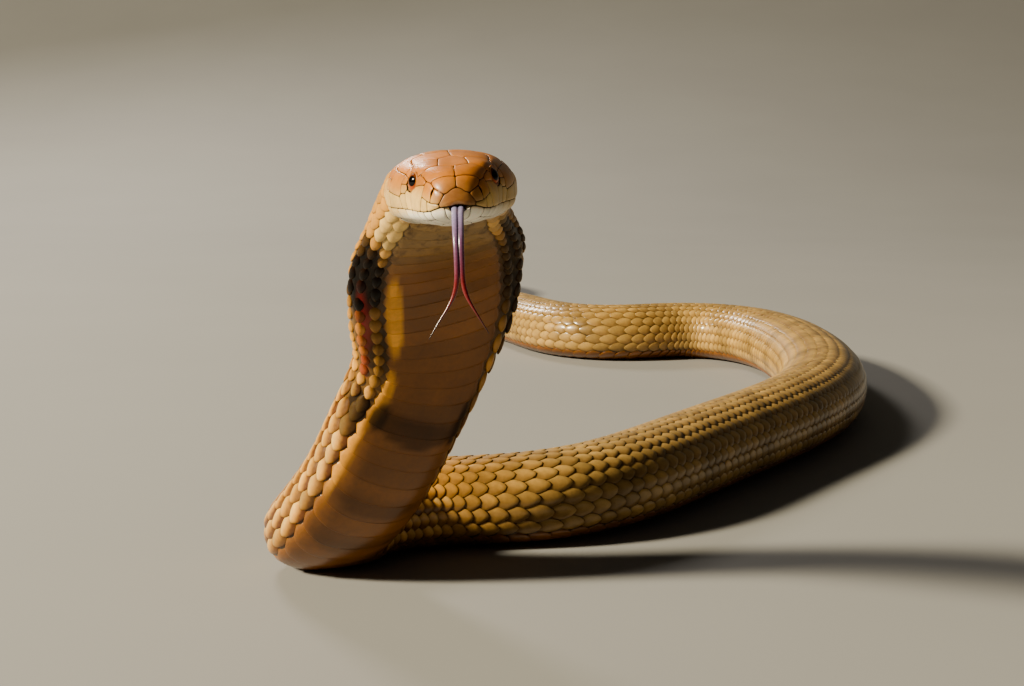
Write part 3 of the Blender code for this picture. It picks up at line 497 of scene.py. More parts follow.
@dataclass
class Form:
    """The snake's outer form as a fine table of places, normals and girth.

    Attributes:
        swellings_mm: Heights on the sides of the face, each with its middle and half size
            behind the snout and its middle and half size upward.
        crown_mm: Depth of the flat top of the face, with its middle and half size behind
            the snout and its half width.
    """

    head: HeadFrame
    route: Route
    columns: int = 193
    turns: int = 720
    tuck_mm: float = 0.3
    swellings_mm: tuple[tuple[float, ...], ...] = (
        (0.60, 21.0, 5.0, 13.0, 1.6), (0.45, 36.0, 9.0, 6.0, 4.5), (-1.05, 14.5, 5.0, 6.8, 3.4),
    )
    crown_mm: tuple[float, ...] = (0.35, 20.0, 9.0, 5.0)
    q: Array = field(init=False)
    places: Array = field(init=False)
    normals: Array = field(init=False)

    def __post_init__(self) -> None:
        """Work the table out from the head's rings and the body's route."""
        tip, front = (0.0, 0.04, 0.12, 0.2), np.geomspace(0.3, 2.0, 12)
        behind = np.concatenate((tip, front, np.arange(2.4, HEAD_LENGTH_MM + 0.1, 0.4)))
        behind[-1] = HEAD_LENGTH_MM
        self.angles = np.linspace(0.0, math.pi, self.turns + 1)[None, :]
        along = np.arange(HEAD_LENGTH_MM * MM - BODY_START + MM, self.route.length, MM)
        along = np.append(along, self.route.length)
        self.q = np.concatenate((behind * MM, along + BODY_START))
        self.head_count = len(behind)
        sides, ups, middles, lefts, backs = (
            np.concatenate(pair) for pair in zip(self._head_sections(behind), self._body_sections(along))
        )
        self._resample(sides, ups, middles, lefts, backs)
        self._shape_face()
        self.rear = float(self.middles[-1, 1]) - 0.1 * MM

    def _head_sections(self, behind: Array) -> tuple[Array, ...]:
        """Sections of the head at dense angles.

        Args:
            behind: Millimetres behind the snout.

        Returns:
            Reaches to the side and up, middles, and axes to the left and up.
        """
        angles = self.angles
        rows = head_rows(behind)
        reach = self._head_reach(rows, angles)
        round_off = np.clip((self.tuck_mm - behind) / self.tuck_mm, 0.0, 1.0)
        shrink = (0.62 + 0.38 * np.sqrt(1.0 - round_off**2))[:, None]
        side = np.sin(angles) * reach * shrink
        up = np.cos(angles) * reach * shrink
        share = smooth_step(behind, BLEND_START_MM, HEAD_LENGTH_MM)[:, None]
        neck_side, neck_up = self._neck_reach(rows, angles)
        side = (side * (1.0 - share) + neck_side * share) * MM
        up = (up * (1.0 - share) + neck_up * share) * MM
        middle = 0.5 * (rows[:, 1] + rows[:, 3])
        centres = self.head.point(behind, np.zeros_like(behind), middle)
        along = np.clip((behind - BLEND_START_MM) * MM, 0.0, self.route.length)
        right, back = self.route.axes(along)
        past = (behind > BLEND_START_MM)[:, None]
        centres = np.where(past, self.route.rows(along)[:, :3] + ROUTE_SHIFT, centres)
        left = np.where(past, unit(self.head.left * (1.0 - share) - right * share), self.head.left)
        top = np.where(past, unit(self.head.up * (1.0 - share) + back * share), self.head.up)
        seam = np.abs((middle[:, None] + up / MM) - rows[:, 2][:, None])
        seam[:, : self.turns // 4] = np.inf
        self.mouth_index = np.argmin(seam, axis=1)
        return side, up, centres, left, top

    @staticmethod
    def _head_reach(rows: Array, angles: Array) -> Array:
        """Find the head's sections by halving.

        Args:
            rows: The head's rings.
            angles: Angles from the top.

        Returns:
            Reaches from the sections' middles.
        """
        widest_mm, halvings = 60.0, 34
        half, top, mouth, under, fullness = (rows[:, k][:, None] for k in range(5))
        middle = 0.5 * (top + under)
        low = np.zeros((len(rows), angles.shape[1]))
        high = low + widest_mm
        for _ in range(halvings):
            reach = 0.5 * (low + high)
            x = np.abs(np.sin(angles)) * reach
            z = middle + np.cos(angles) * reach
            upper = (x / half) ** fullness + (np.abs(z - mouth) / (top - mouth)) ** fullness
            lower = (x / (half - JAW_INSET_MM)) ** JAW_FULLNESS
            lower = lower + (np.abs(z - mouth) / (mouth - under)) ** JAW_FULLNESS
            outside = np.where(z >= mouth, upper, lower) > 1.0
            high = np.where(outside, reach, high)
            low = np.where(outside, low, reach)
        return low

    @staticmethod
    def _neck_reach(rows: Array, angles: Array) -> tuple[Array, Array]:
        """Sections of the neck, which the head's blend into.

        Args:
            rows: The head's rings.
            angles: Angles from the top.

        Returns:
            Reaches to the side and up.
        """
        half = rows[:, 0][:, None]
        tall = (0.5 * (rows[:, 1] - rows[:, 3]))[:, None]
        side, up = np.sin(angles), np.cos(angles)
        power = np.where(up >= 0.0, BACK_FULLNESS, BELLY_FULLNESS)
        size = (np.abs(side) / half) ** power + (np.abs(up) / tall) ** power
        reach = size ** (-1.0 / power)
        return side * reach, up * reach

    def _body_sections(self, along: Array) -> tuple[Array, ...]:
        """Sections of the body at dense angles.

        Args:
            along: Distances along the route.

        Returns:
            Reaches to the side and up, middles, and axes to the left and up.
        """
        rows = self.route.rows(along)
        up, side = np.cos(self.angles), np.sin(self.angles)
        power = np.where(up >= 0.0, BACK_FULLNESS, BELLY_FULLNESS)
        reach = (np.abs(up) ** power + np.abs(side) ** power) ** (-1.0 / power)
        right, back = self.route.axes(along)
        sides = side * reach * (0.5 * rows[:, 3])[:, None]
        ups = up * reach * (0.5 * rows[:, 4])[:, None]
        return sides, ups, rows[:, :3] + ROUTE_SHIFT, -right, back

    def _resample(self, sides: Array, ups: Array, middles: Array,
                  lefts: Array, backs: Array) -> None:
        """Space the places round each section evenly and set them in the world.

        Args:
            sides: Reaches to the side.
            ups: Reaches upward.
            middles: Middles of the sections.
            lefts: Directions to the left.
            backs: Directions to the back.
        """
        steps = np.hypot(np.diff(sides, axis=1), np.diff(ups, axis=1))
        arcs = np.concatenate((np.zeros((len(sides), 1)), np.cumsum(steps, axis=1)), axis=1)
        self.half_girth = arcs[:, -1].copy()
        shares = arcs / self.half_girth[:, None]
        count = self.columns // 2 + 1
        even = np.linspace(0.0, 1.0, count)
        side = np.array([np.interp(even, shares[i], sides[i]) for i in range(len(sides))])
        up = np.array([np.interp(even, shares[i], ups[i]) for i in range(len(ups))])
        seam = shares[np.arange(self.head_count), self.mouth_index]
        self.mouth_share = np.concatenate((seam, np.full(len(sides) - self.head_count, seam[-1])))
        side = np.concatenate((-side[:, :0:-1], side), axis=1)
        up = np.concatenate((up[:, :0:-1], up), axis=1)
        self.places = middles[:, None] + lefts[:, None] * side[..., None] + backs[:, None] * up[..., None]
        self.middles = middles
        self._set_normals()

    def _set_normals(self) -> None:
        """Outward directions from the slopes of the table both ways."""
        along = np.gradient(self.places, axis=0)
        wrapped = np.concatenate((self.places[:, -2:-1], self.places, self.places[:, 1:2]), axis=1)
        around = wrapped[:, 2:] - wrapped[:, :-2]
        normals = unit(np.cross(along, around))
        outward = np.sum(normals * (self.places - self.middles[:, None]), axis=-1)
        self.normals = normals * (1.0 if float(np.sum(np.sign(outward))) > 0.0 else -1.0)
        self.normals[0] = self.head.forward

    def _shape_face(self) -> None:
        """Hollow the cheeks before the eyes and swell the brows over them."""
        behind, side, up = self.head.read(self.places[: self.head_count])
        lateral = smooth_step(np.abs(side), 5.0, 11.0)
        lift = np.zeros_like(side)
        for height, middle, length, level, tall in self.swellings_mm:
            lift += height * bell(behind, middle, length) * bell(up, level, tall) * lateral
        depth, middle, length, wide = self.crown_mm
        lift -= depth * bell(behind, middle, length) * bell(side, 0.0, wide) * (up > wide)
        self.places[: self.head_count] += self.normals[: self.head_count] * lift[..., None] * MM
        self._set_normals()

    def girth_at(self, q: Array) -> Array:
        """Half the way round the body at distances behind the snout."""
        return np.interp(q, self.q, self.half_girth)

    def mouth_at(self, q: Array) -> Array:
        """How far round the mouth line lies at distances behind the snout."""
        return np.interp(q, self.q, self.mouth_share)

    def at(self, q: Array, g: Array, lift: Array | float = 0.0) -> Array:
        """Points on or off the form.

        Args:
            q: Distances behind the snout.
            g: Ways round the body.
            lift: Heights over the form.

        Returns:
            World points, none of them under the floor or past the tail's tip.
        """
        q, g, lift = np.broadcast_arrays(q, g, lift)
        i = np.interp(q, self.q, np.arange(len(self.q)))
        row = np.minimum(i.astype(int), len(self.q) - 2)
        down = (i - row)[..., None]
        j = ((g + 1.0) % 2.0) * 0.5 * (self.columns - 1)
        column = np.minimum(j.astype(int), self.columns - 2)
        over = (j - column)[..., None]

        def mixed(table: Array) -> Array:
            """Values of a table between its four nearest entries."""
            first = table[row, column] * (1.0 - down) + table[row + 1, column] * down
            second = table[row, column + 1] * (1.0 - down) + table[row + 1, column + 1] * down
            return first * (1.0 - over) + second * over

        points = mixed(self.places) + unit(mixed(self.normals)) * lift[..., None]
        points[..., 1] = np.minimum(points[..., 1], self.rear)
        points[..., 2] = np.maximum(points[..., 2], 0.0)
        return points


def belly_share(q: Array) -> Array:
    """Share of the half girth that the broad belly scutes take."""
    places = (0.050, 0.064, 0.090, 0.160, 0.200, 0.250, 0.300, 2.300, 3.000)
    return np.interp(q, places, (0.12, 0.22, 0.29, 0.30, 0.28, 0.325, 0.34, 0.34, 0.36))


def fineness(q: Array) -> Array:
    """Scale of small sizes, 1 on the body and less toward the tail's tip."""
    return np.interp(q, (0.0, 2.30, 2.80, 3.033), (1.0, 1.0, 0.62, 0.18))


class Beat:
    """The steady beat along the body that scutes and scales of the back share."""

    PLACES = (0.045, 0.082, 0.112, 0.130, 0.180, 0.250, 0.300, 0.360, 0.520, 2.300, 2.600, 2.850, 3.035)
    STEPS_MM = (6.2, 6.5, 9.6, 10.8, 10.8, 9.6, 8.6, 8.8, 9.6, 9.2, 7.8, 6.4, 5.2)
    FINE = 0.5 * MM
    q = np.arange(PLACES[0], PLACES[-1], FINE)
    pitches = np.interp(q, PLACES, np.array(STEPS_MM) * MM)
    counts = np.concatenate(([0.0], np.cumsum(FINE / pitches[:-1])))

    @classmethod
    def places(cls, start: float, end: float, shift: float = 0.0) -> Array:
        """Distances behind the snout of the beats from start to end, moved back by a share of one."""
        low, high = np.interp((start, end), cls.q, cls.counts)
        return np.interp(np.arange(math.ceil(low - shift), high - shift) + shift, cls.counts, cls.q)

    @classmethod
    def pitch(cls, q: Array) -> Array:
        """Distance from one beat to the next at distances behind the snout."""
        return np.interp(q, cls.q, cls.pitches)


@dataclass(frozen=True)
class Patch:
    """One soft-edged patch of a colour, or of painted light or shade, on the raised part.

    Attributes:
        q: Distance behind the snout of its middle.
        g: The way round to its middle.
        lean: How much farther back it lies for each step round the body.
        bow: How much farther back its ends lie than its middle.
        fade: How far it fades out toward the head, if not by half its length.
    """

    shade: str
    q: float
    half_q: float
    g: float
    half_g: float
    strength: float
    lean: float = 0.0
    bow: float = 0.0
    fade: float = 0.0
    SOFT_EDGE = (0.72, 1.18)

    def share(self, q: Array, g: Array) -> Array:
        """Share of the patch's colour at places on the hide.

        Args:
            q: Distances behind the snout.
            g: Ways round the body.

        Returns:
            Shares from 0 to 1.
        """
        around = (g - self.g + 1.0) % 2.0 - 1.0
        along = q - self.q - self.lean * around - self.bow * (around / self.half_g) ** 2
        reach = np.where(along < 0.0, max(self.fade, self.half_q), self.half_q)
        away = np.hypot(along / reach, around / self.half_g)
        return self.strength * (1.0 - smooth_step(away, *self.SOFT_EDGE))


class Markings:
    """Where the hide is pale, warm, dark or olive, and where light and shade are painted on it, for skin
    and coat alike.
    """

    PATCHES = (
        Patch("dark", 0.126, 0.034, -0.585, 0.125, 1.0),
        Patch("dark", 0.105, 0.016, -0.535, 0.050, 0.9),
        Patch("dark", 0.136, 0.076, 0.590, 0.100, 0.95),
        # Partly the hood edge's own dark scales, partly painted shade on the snake's left side, away from
        # the light.
        Patch("dark", 0.205, 0.030, 0.600, 0.060, 0.55),
        Patch("dark", 0.238, 0.013, -0.610, 0.075, 0.9),
        Patch("dark", 0.292, 0.005, -0.630, 0.045, 0.5),
        Patch("dark", 0.247, 0.004, 1.00, 0.310, 0.62, -0.008, -0.011, 0.014),
        Patch("dark", 0.239, 0.007, -0.765, 0.055, 0.85, 0.0, 0.0, 0.012),
        Patch("dark", 0.241, 0.006, 0.735, 0.045, 0.85, 0.0, 0.0, 0.022),
        Patch("dark", 0.289, 0.003, 1.00, 0.300, 0.34, 0.0, -0.008, 0.009),
        Patch("dark", 0.314, 0.003, 0.97, 0.320, 0.30, 0.0, -0.008, 0.008),
        # Painted shade: a darker strip low on the hood's right flank, where it turns away from the light.
        Patch("dark", 0.182, 0.036, -0.665, 0.050, 0.62),
        # Painted highlight: golden lit lobes and scales on the snake's right side, which faces the light.
        Patch("gold", 0.155, 0.036, -0.752, 0.042, 0.9),
        Patch("gold", 0.222, 0.022, -0.735, 0.045, 0.8),
        Patch("gold", 0.264, 0.024, -0.695, 0.040, 0.7),
        Patch("gold", 0.196, 0.034, -0.515, 0.035, 0.9),
        Patch("crimson", 0.164, 0.036, -0.602, 0.026, 1.0),
        Patch("crimson", 0.205, 0.012, -0.590, 0.020, 0.8),
        # Partly the cream scales below the jaw, partly painted light: full on the snake's right, which
        # faces the light, and half on its left.
        Patch("pale", 0.078, 0.018, -0.66, 0.090, 1.0),
        Patch("pale", 0.072, 0.018, 0.66, 0.080, 0.5),
    )
    # Where things start and end: q along the body, side round it from the back to the belly.
    HEAD_Q = (0.050, 0.066)
    LYING_Q = (0.36, 0.50)
    THROAT_Q = (0.075, 0.125)
    THROAT_START_Q = (0.050, 0.070)
    SNOUT_SHADE_Q = (0.0012, 0.0045)
    BEHIND_EYE_Q = (0.022, 0.032)
    LOWER_LIP_Q = (0.048, 0.072)
    WET_Q = (0.22, 0.30)
    CHIN_SIDE = (0.70, 0.80)
    SNOUT_SHADE_SIDE = (0.52, 0.62)
    LOWER_LIP_SIDE = (0.60, 0.66)
    UPPER_LIP_SIDE = (0.36, 0.50)
    UNDER_LIP_SIDE = (0.72, 0.84)
    FLANK_SIDE = (0.34, 0.50)
    CROSSBAND_STEP = 0.085
    CROSSBAND_LEAN = 0.9
    CROSSBAND_HALF = 0.16
    CROSSBAND_STRENGTH = 0.28

    @classmethod
    def shares(cls, q: Array, g: Array) -> Shades:
        """Shares of each colour at places on the hide.

        Args:
            q: Distances behind the snout.
            g: Ways round the body.

        Returns:
            Named arrays from 0 to 1, one value for each place.
        """
        q, g = np.broadcast_arrays(np.asarray(q, dtype=float), np.asarray(g, dtype=float))
        side = np.abs((g + 1.0) % 2.0 - 1.0)
        on_head = 1.0 - smooth_step(q, *cls.HEAD_Q)
        lying = smooth_step(q, *cls.LYING_Q)
        edge = 1.0 - belly_share(q)
        belly = smooth_step(side, edge - 0.030, edge + 0.010)
        belly = np.maximum(belly * (1.0 - on_head), on_head * smooth_step(side, *cls.CHIN_SIDE))
        behind_eye = smooth_step(q, *cls.BEHIND_EYE_Q)
        crown = 1.0 - smooth_step(side, 0.30 + 0.06 * behind_eye, 0.50 + 0.02 * behind_eye)
        # Painted shade on the front of the snout: less warm there, and browner.
        snout_in_shade = (1.0 - smooth_step(q, *cls.SNOUT_SHADE_Q)) * (1.0 - smooth_step(side, *cls.SNOUT_SHADE_SIDE))
        # The lower lip's own cream, lifted almost to white as a painted highlight.
        lower_lip = (1.0 - smooth_step(q, *cls.LOWER_LIP_Q)) * smooth_step(side, *cls.LOWER_LIP_SIDE)
        upper_lip = smooth_step(side, *cls.UPPER_LIP_SIDE) * (1.0 - smooth_step(side, *cls.UNDER_LIP_SIDE))
        flank = (1.0 - on_head) * (1.0 - lying) * smooth_step(side, *cls.FLANK_SIDE) * (1.0 - belly)
        throat = (1.0 - smooth_step(q, *cls.THROAT_Q)) * smooth_step(q, *cls.THROAT_START_Q)
        turn = (q / cls.CROSSBAND_STEP + cls.CROSSBAND_LEAN * side) % 1.0
        crossband = cls.CROSSBAND_STRENGTH * bell(turn, 0.5, cls.CROSSBAND_HALF)
        shades = {
            "belly": belly,
            "throat": throat * belly,
            "lying": lying,
            "warm": on_head * crown * (1.0 - 0.6 * snout_in_shade),
            "umber": 0.75 * on_head * snout_in_shade,
            "ivory": lower_lip,
            "pale": np.maximum(on_head * upper_lip, 0.18 * flank),
            "crimson": np.zeros_like(q),
            "gold": np.zeros_like(q),
            "wet": smooth_step(q, *cls.WET_Q),
            "dark": crossband * (1.0 - belly) * lying,
        }
        for patch in cls.PATCHES:
            shades[patch.shade] = np.maximum(shades[patch.shade], patch.share(q, g))
        return shades


def shade_round(mesh: Mesh) -> None:
    """Shade all of a mesh's faces round."""
    mesh.polygons.foreach_set("use_smooth", np.ones(len(mesh.polygons), dtype=bool))


def finished_mesh(name: str, builder: BMesh) -> Mesh:
    """Turn a builder's work into a mesh and let the builder go.

    Args:
        name: Name of the mesh.
        builder: What the mesh was modelled with.

    Returns:
        The mesh, shaded round.
    """
    mesh = bpy.data.meshes.new(name)
    builder.to_mesh(mesh)
    builder.free()
    shade_round(mesh)
    return mesh


def points_of(mesh: Mesh) -> Array:
    """World points of a mesh, one row each."""
    return np.array([vert.co for vert in mesh.vertices], dtype=np.float32)


def moved_points(made: dict[str, list]) -> list[BMVert]:
    """New points of an extrusion."""
    return [item for item in made["geom"] if isinstance(item, BMVert)]


def array_mesh(name: str, points: Array, faces: list[Array]) -> Mesh:
    """Make a mesh, shaded round, from arrays.

    Args:
        name: Name of the mesh.
        points: World points, one row each.
        faces: Arrays of point numbers, each with one face in a row.

    Returns:
        The mesh.
    """
    mesh = bpy.data.meshes.new(name)
    loops = np.concatenate([rows.ravel() for rows in faces])
    sizes = np.concatenate([np.full(len(rows), rows.shape[1]) for rows in faces])
    mesh.vertices.add(len(points))
    mesh.vertices.foreach_set("co", points.astype(np.float32).ravel())
    mesh.loops.add(len(loops))
    mesh.loops.foreach_set("vertex_index", loops.astype(np.int32))
    mesh.polygons.add(len(sizes))
    starts = np.concatenate(([0], np.cumsum(sizes)[:-1]))
    mesh.polygons.foreach_set("loop_start", starts.astype(np.int32))
    shade_round(mesh)
    mesh.update(calc_edges=True)
    mesh.validate()
    return mesh


def set_values(mesh: Mesh, values: Shades) -> None:
    """Store named numbers on a mesh's points.

    Args:
        mesh: The mesh.
        values: One array for each name.
    """
    for name, numbers in values.items():
        layer = mesh.attributes.new(name, "FLOAT", "POINT")
        layer.data.foreach_set("value", np.asarray(numbers, dtype=np.float32).ravel())


def set_map(mesh: Mesh, places: Array) -> None:
    """Give a mesh the map that its colours are baked through.

    Args:
        mesh: The mesh.
        places: One place in the map for each point of the mesh.
    """
    corners = np.empty(len(mesh.loops), dtype=np.int32)
    mesh.loops.foreach_get("vertex_index", corners)
    layer = mesh.uv_layers.new(name="OFBake")
    layer.data.foreach_set("uv", places[corners].astype(np.float32).ravel())


Part = tuple[Array, list[Array], Shades, Array]


def joined_mesh(name: str, parts: list[Part]) -> Mesh:
    """Join parts in one mesh.

    Args:
        name: Name of the mesh.
        parts: For each part its points, faces, values and places in the map.

    Returns:
        The mesh, with its values and its map.
    """
    points, faces, shades, places = zip(*parts)
    offsets = np.cumsum([0] + [len(part) for part in points])
    moved = [rows + offset for part, offset in zip(faces, offsets) for rows in part]
    mesh = array_mesh(name, np.concatenate(points), moved)
    set_values(mesh, {key: np.concatenate([own[key] for own in shades]) for key in shades[0]})
    set_map(mesh, np.concatenate(places))
    return mesh


def ring_faces(count: int, rings: int) -> list[Array]:
    """Faces between stacked rings of points and up to a point in their middle.

    Args:
        count: Points in each ring.
        rings: How many rings there are. The point in the middle follows them.

    Returns:
        Arrays of faces between the rings and over the last one.
    """
    first = np.arange(count)
    second = (first + 1) % count
    low = np.repeat(np.arange(rings - 1) * count, count)
    lower, next_lower = low + np.tile(first, rings - 1), low + np.tile(second, rings - 1)
    quads = np.stack((lower, next_lower, next_lower + count, lower + count), axis=1)
    last = (rings - 1) * count
    return [quads, np.stack((last + first, last + second, np.full(count, rings * count)), axis=1)]


def plate_faces(count: int, rings: int) -> list[Array]:
    """Faces of a plate, its underside first.

    Args:
        count: Points in each ring.
        rings: How many rings there are. The points in the middle of the upper side and
            of the underside follow them.

    Returns:
        Arrays of faces.
    """
    first = np.arange(count)
    under = np.stack((np.roll(first, -1), first, np.full(count, rings * count + 1)), axis=1)
    return [under, *ring_faces(count, rings)]


def add_piece(name: str, mesh: Mesh, material: Material,
              replaced: tuple[str, ...] = ()) -> Object:
    """Show a mesh as a piece of the snake.

    Args:
        name: Name of the piece.
        mesh: Its mesh, in place.
        material: Its finish.
        replaced: Solids that it stands for.

    Returns:
        The piece.
    """
    piece = bpy.data.objects.new(name, mesh)
    bpy.context.scene.collection.objects.link(piece)
    mesh.materials.append(material)
    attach(piece, ROOT)
    if replaced:
        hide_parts(*replaced)
    triangles = sum(len(face.vertices) - 2 for face in mesh.polygons)
    LOG.info("%s: %d triangles", name, triangles)
    return piece


@dataclass(frozen=True)
class HideFinish:
    """Colours, with painted light and shade, and surface of the hide.

    Attributes:
        under: Share of bare dark skin, 1 between the scales.
    """

    under: float
    wet: float
    grain: float
    FLANK = srgb(200, 132, 20)
    LAYERS = (
        ("lying", srgb(186, 146, 74)),
        ("belly", srgb(124, 74, 10)),
        ("throat", srgb(150, 116, 62)),
        # Painted highlight: golden light on lobes and scales of the side that faces the light.
        ("gold", srgb(242, 166, 40)),
        # Own pale colour of lips and flanks, with painted highlights on scale tips and on the neck below
        # the jaw.
        ("pale", srgb(234, 192, 112)),
        # The lower lip's own cream, lifted almost to white as a painted highlight.
        ("ivory", srgb(255, 246, 226)),
        ("warm", srgb(194, 115, 28)),
        # Painted shade on the front of the snout.
        ("umber", srgb(122, 80, 50)),
        # Painted shade on each scale's belly side, partly its own tone; also the eye rims' own darker
        # tone.
        ("deep", srgb(88, 46, 4)),
    )
    SPECK = srgb(70, 44, 14)
    DARK = srgb(16, 8, 3)
    CRIMSON = srgb(130, 6, 4)
    SEAM = srgb(30, 15, 7)

    def make(self, name: str) -> Material:
        """Build the node tree.

        Args:
            name: Name of the material.

        Returns:
            The material.
        """
        tree = NodeTree(name)
        colour = self.FLANK
        for shade, own in self.LAYERS:
            colour = tree.mix(colour, own, tree.value_of(shade))
        spots = tree.span(tree.noise(170.0, 5.0, 0.7), 0.50, 0.64, 0.0, 0.75)
        colour = tree.mix(colour, self.SPECK, tree.product(spots, tree.value_of("throat")))
        fine = tree.noise(420.0, 4.0, 0.6)
        colour = tree.scale(colour, tree.span(tree.noise(38.0, 3.0, 0.55), 0.30, 0.70, 0.76, 1.16))
        colour = tree.scale(colour, tree.span(fine, 0.30, 0.70, 0.88, 1.10))
        colour = tree.scale(colour, tree.span(tree.value_of("pick"), -1.0, 1.0, 0.80, 1.16))
        # Dark bands and hood edges, with painted shade where the dark patches put it.
        colour = tree.mix(colour, self.DARK, tree.value_of("dark"))
        if self.under:
            colour = tree.mix(colour, self.DARK, self.under)
        colour = tree.mix(colour, self.CRIMSON, tree.value_of("crimson"))
        colour = tree.mix(colour, self.SEAM, tree.value_of("rim"))
        clear = tree.span(tree.value_of("rim"), 0.0, 0.5, 1.0, 0.05)
        gloss = tree.span(tree.value_of("dark"), 0.0, 1.0, 0.30, 0.07)
        coat = tree.span(tree.value_of("wet"), 0.0, 1.0, 0.2 * self.wet, self.wet)
        tree.set_shader({
            "Base Color": colour,
            "Roughness": tree.span(fine, 0.25, 0.75, 0.30, 0.48),
            "Specular IOR Level": tree.product(gloss, clear),
            "Coat Weight": tree.product(coat, clear),
            "Coat Roughness": 0.14,
            "Subsurface Weight": 0.08,
            "Subsurface Radius": (1.0, 0.45, 0.15),
            "Subsurface Scale": 0.0012,
        })
        tree.bump(tree.noise(1500.0, 3.0, 0.5), self.grain)
        return tree.material


class NodeTree:
    """A material's node tree with short ways to add its nodes."""

    def __init__(self, name: str) -> None:
        """Start a material with one shader.

        Args:
            name: Name of the material.
        """
        self.material = bpy.data.materials.new(name)
        self.material.use_nodes = True
        self.nodes = self.material.node_tree.nodes
        self.shader = self.nodes["Principled BSDF"]
        self.coordinates = self.nodes.new("ShaderNodeTexCoord")

    @staticmethod
    def _fill(node: Node, inputs: dict[str | int, object]) -> None:
        """Lead sockets, colours or numbers into a node.

        Args:
            node: The node.
            inputs: For the name or number of each of its sockets what goes in.
        """
        for key, value in inputs.items():
            if isinstance(value, NodeSocket):
                node.id_data.links.new(value, node.inputs[key])
            else:
                node.inputs[key].default_value = value

    def add(self, kind: str, inputs: dict[str | int, object], **settings: str) -> Node:
        """Add a node.

        Args:
            kind: Its kind.
            inputs: What goes into its sockets.
            settings: Its own settings.

        Returns:
            The node.
        """
        node = self.nodes.new(kind)
        for key, value in settings.items():
            setattr(node, key, value)
        self._fill(node, inputs)
        return node

    def set_shader(self, inputs: dict[str | int, object]) -> None:
        """Lead values into the shader."""
        self._fill(self.shader, inputs)

    def value_of(self, name: str) -> NodeSocket:
        """A number stored on the mesh."""
        return self.add("ShaderNodeAttribute", {}, attribute_name=name).outputs["Fac"]

    def noise(self, scale: float, detail: float, roughness: float) -> NodeSocket:
        """Noise in the object's own space.

        Args:
            scale: How fine it is.
            detail: How many finer layers it has.
            roughness: How strong they are.

        Returns:
            The noise, from 0 to 1.
        """
        place = self.coordinates.outputs["Object"]
        inputs = {"Vector": place, "Scale": scale, "Detail": detail, "Roughness": roughness}
        return self.add("ShaderNodeTexNoise", inputs).outputs["Fac"]

    def mix(self, first: object, second: object, share: object) -> NodeSocket:
        """Blend two colours by a share."""
        inputs = {"Factor": share, 6: first, 7: second}
        return self.add("ShaderNodeMix", inputs, data_type="RGBA").outputs[2]

    def scale(self, colour: object, factor: object) -> NodeSocket:
        """Make a colour lighter or darker by a factor."""
        node = self.add("ShaderNodeVectorMath", {0: colour, "Scale": factor}, operation="SCALE")
        return node.outputs["Vector"]

    def product(self, first: object, second: object) -> NodeSocket:
        """Two numbers multiplied."""
        return self.add("ShaderNodeMath", {0: first, 1: second}, operation="MULTIPLY").outputs[0]

    def span(self, value: object, low: float, high: float, start: float,
             end: float) -> NodeSocket:
        """Map low to start and high to end, and hold it there."""
        inputs = {"Value": value, "From Min": low, "From Max": high, "To Min": start, "To Max": end}
        return self.add("ShaderNodeMapRange", inputs).outputs["Result"]

    def bump(self, height: object, distance: float) -> None:
        """Lead a height into the shader's normal."""
        node = self.add("ShaderNodeBump", {"Strength": 0.6, "Distance": distance, "Height": height})
        self.set_shader({"Normal": node.outputs["Normal"]})


